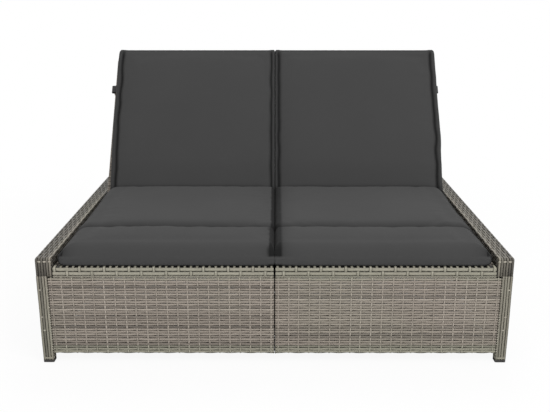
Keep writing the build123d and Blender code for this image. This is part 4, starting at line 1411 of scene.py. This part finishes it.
def buildFloor():
    # The camera sees the floor mostly as plain white, with the object's shadow on it
    bm = bmesh.new()
    bmesh.ops.create_grid(bm, x_segments=4, y_segments=4, size=studio["floorReach"])
    material, tree, shader = newMaterial("studioFloor")
    wear = placeWear(tree, *studio["floorWearScales"])
    pale = tuple(min(part * studio["paleShare"], 1.0) for part in studio["floorColour"])
    feed(tree, shader, {
        "Base Color": addColourMix(tree, wear["Patches"], studio["floorColour"], pale),
        "Roughness": studio["floorRoughness"],
        "Specular IOR Level": studio["floorSpecular"],
    })
    # Under the object it stays as lit, so that it doesn't shine through the weave
    place = addNode(tree, "TexCoord")["Object"]
    parts = addNode(tree, "SeparateXYZ", {"Vector": place})
    beyond = []
    for axis, (middle, reach) in zip("XY", studio["under"]):
        away = addMath(tree, "ABSOLUTE", addMath(tree, "SUBTRACT", parts[axis], middle))
        beyond.append(addMapRange(tree, away, (reach, reach + studio["underBlur"]), (0.0, 1.0)))
    # Far out it goes fully white, so that no horizon shows
    distance = addNode(tree, "VectorMath", {0: place}, operation="LENGTH")["Value"]
    white = addMapRange(tree, distance, studio["whiteFrom"], (studio["seenWhite"], 1.0),
                        "SMOOTHSTEP")
    share = addMath(tree, "MULTIPLY", addMath(tree, "MAXIMUM", *beyond), white)
    ray = addNode(tree, "LightPath")["Is Camera Ray"]
    glow = addNode(tree, "Emission", {"Strength": 1.0})["Emission"]
    both = addNode(tree, "MixShader", {"Fac": addMath(tree, "MULTIPLY", ray, share),
                                       1: shader.outputs["BSDF"], 2: glow})
    feed(tree, tree.nodes["Material Output"], {"Surface": both["Shader"]})
    finishPiece(bm, "studioFloor", material)


def buildWorld():
    # White where it is seen or mirrored, weaker as a light
    world = bpy.data.worlds.new("studio")
    bpy.context.scene.world = world
    world.use_nodes = True
    tree = world.node_tree
    rays = addNode(tree, "LightPath")
    seen = addMath(tree, "MAXIMUM", rays["Is Camera Ray"], rays["Is Glossy Ray"])
    seen = addMath(tree, "MAXIMUM", seen, rays["Is Transmission Ray"])
    strength = addMapRange(tree, seen, (0.0, 1.0), (studio["worldStrength"], 1.0))
    feed(tree, tree.nodes["Background"], {"Color": (1, 1, 1, 1), "Strength": strength})


def addLamp(name, power, place):
    lamp = bpy.data.lights.new(name, "AREA")
    lamp.energy = power
    lamp.size = studio["lampSize"]
    holder = bpy.data.objects.new(name, lamp)
    holder.location = place
    aim = Vector(studio["lampAim"]) - Vector(place)
    holder.rotation_euler = aim.to_track_quat("-Z", "Y").to_euler()
    bpy.context.scene.collection.objects.link(holder)


cameraSizes = {
    "place": (0.0044, -3.0897, 1.0744),
    "pitch": 18.2254,
    "yaw": 0.0738,
    "lens": 55.02,
    "sensor": 36.0,
    "shiftY": 0.1091,
}


def addCamera():
    lens = bpy.data.cameras.new("camera")
    lens.lens = cameraSizes["lens"]
    lens.sensor_width = cameraSizes["sensor"]
    lens.shift_y = cameraSizes["shiftY"]
    holder = bpy.data.objects.new("camera", lens)
    holder.location = cameraSizes["place"]
    holder.rotation_euler = (math.radians(90 - cameraSizes["pitch"]), 0,
                             math.radians(cameraSizes["yaw"]))
    bpy.context.scene.collection.objects.link(holder)
    bpy.context.scene.camera = holder


buildFloor()
buildWorld()
for name, (power, place) in lamps.items():
    addLamp(name, power, place)
addCamera()
bpy.context.scene.view_settings.view_transform = "Standard"

print("studio done")
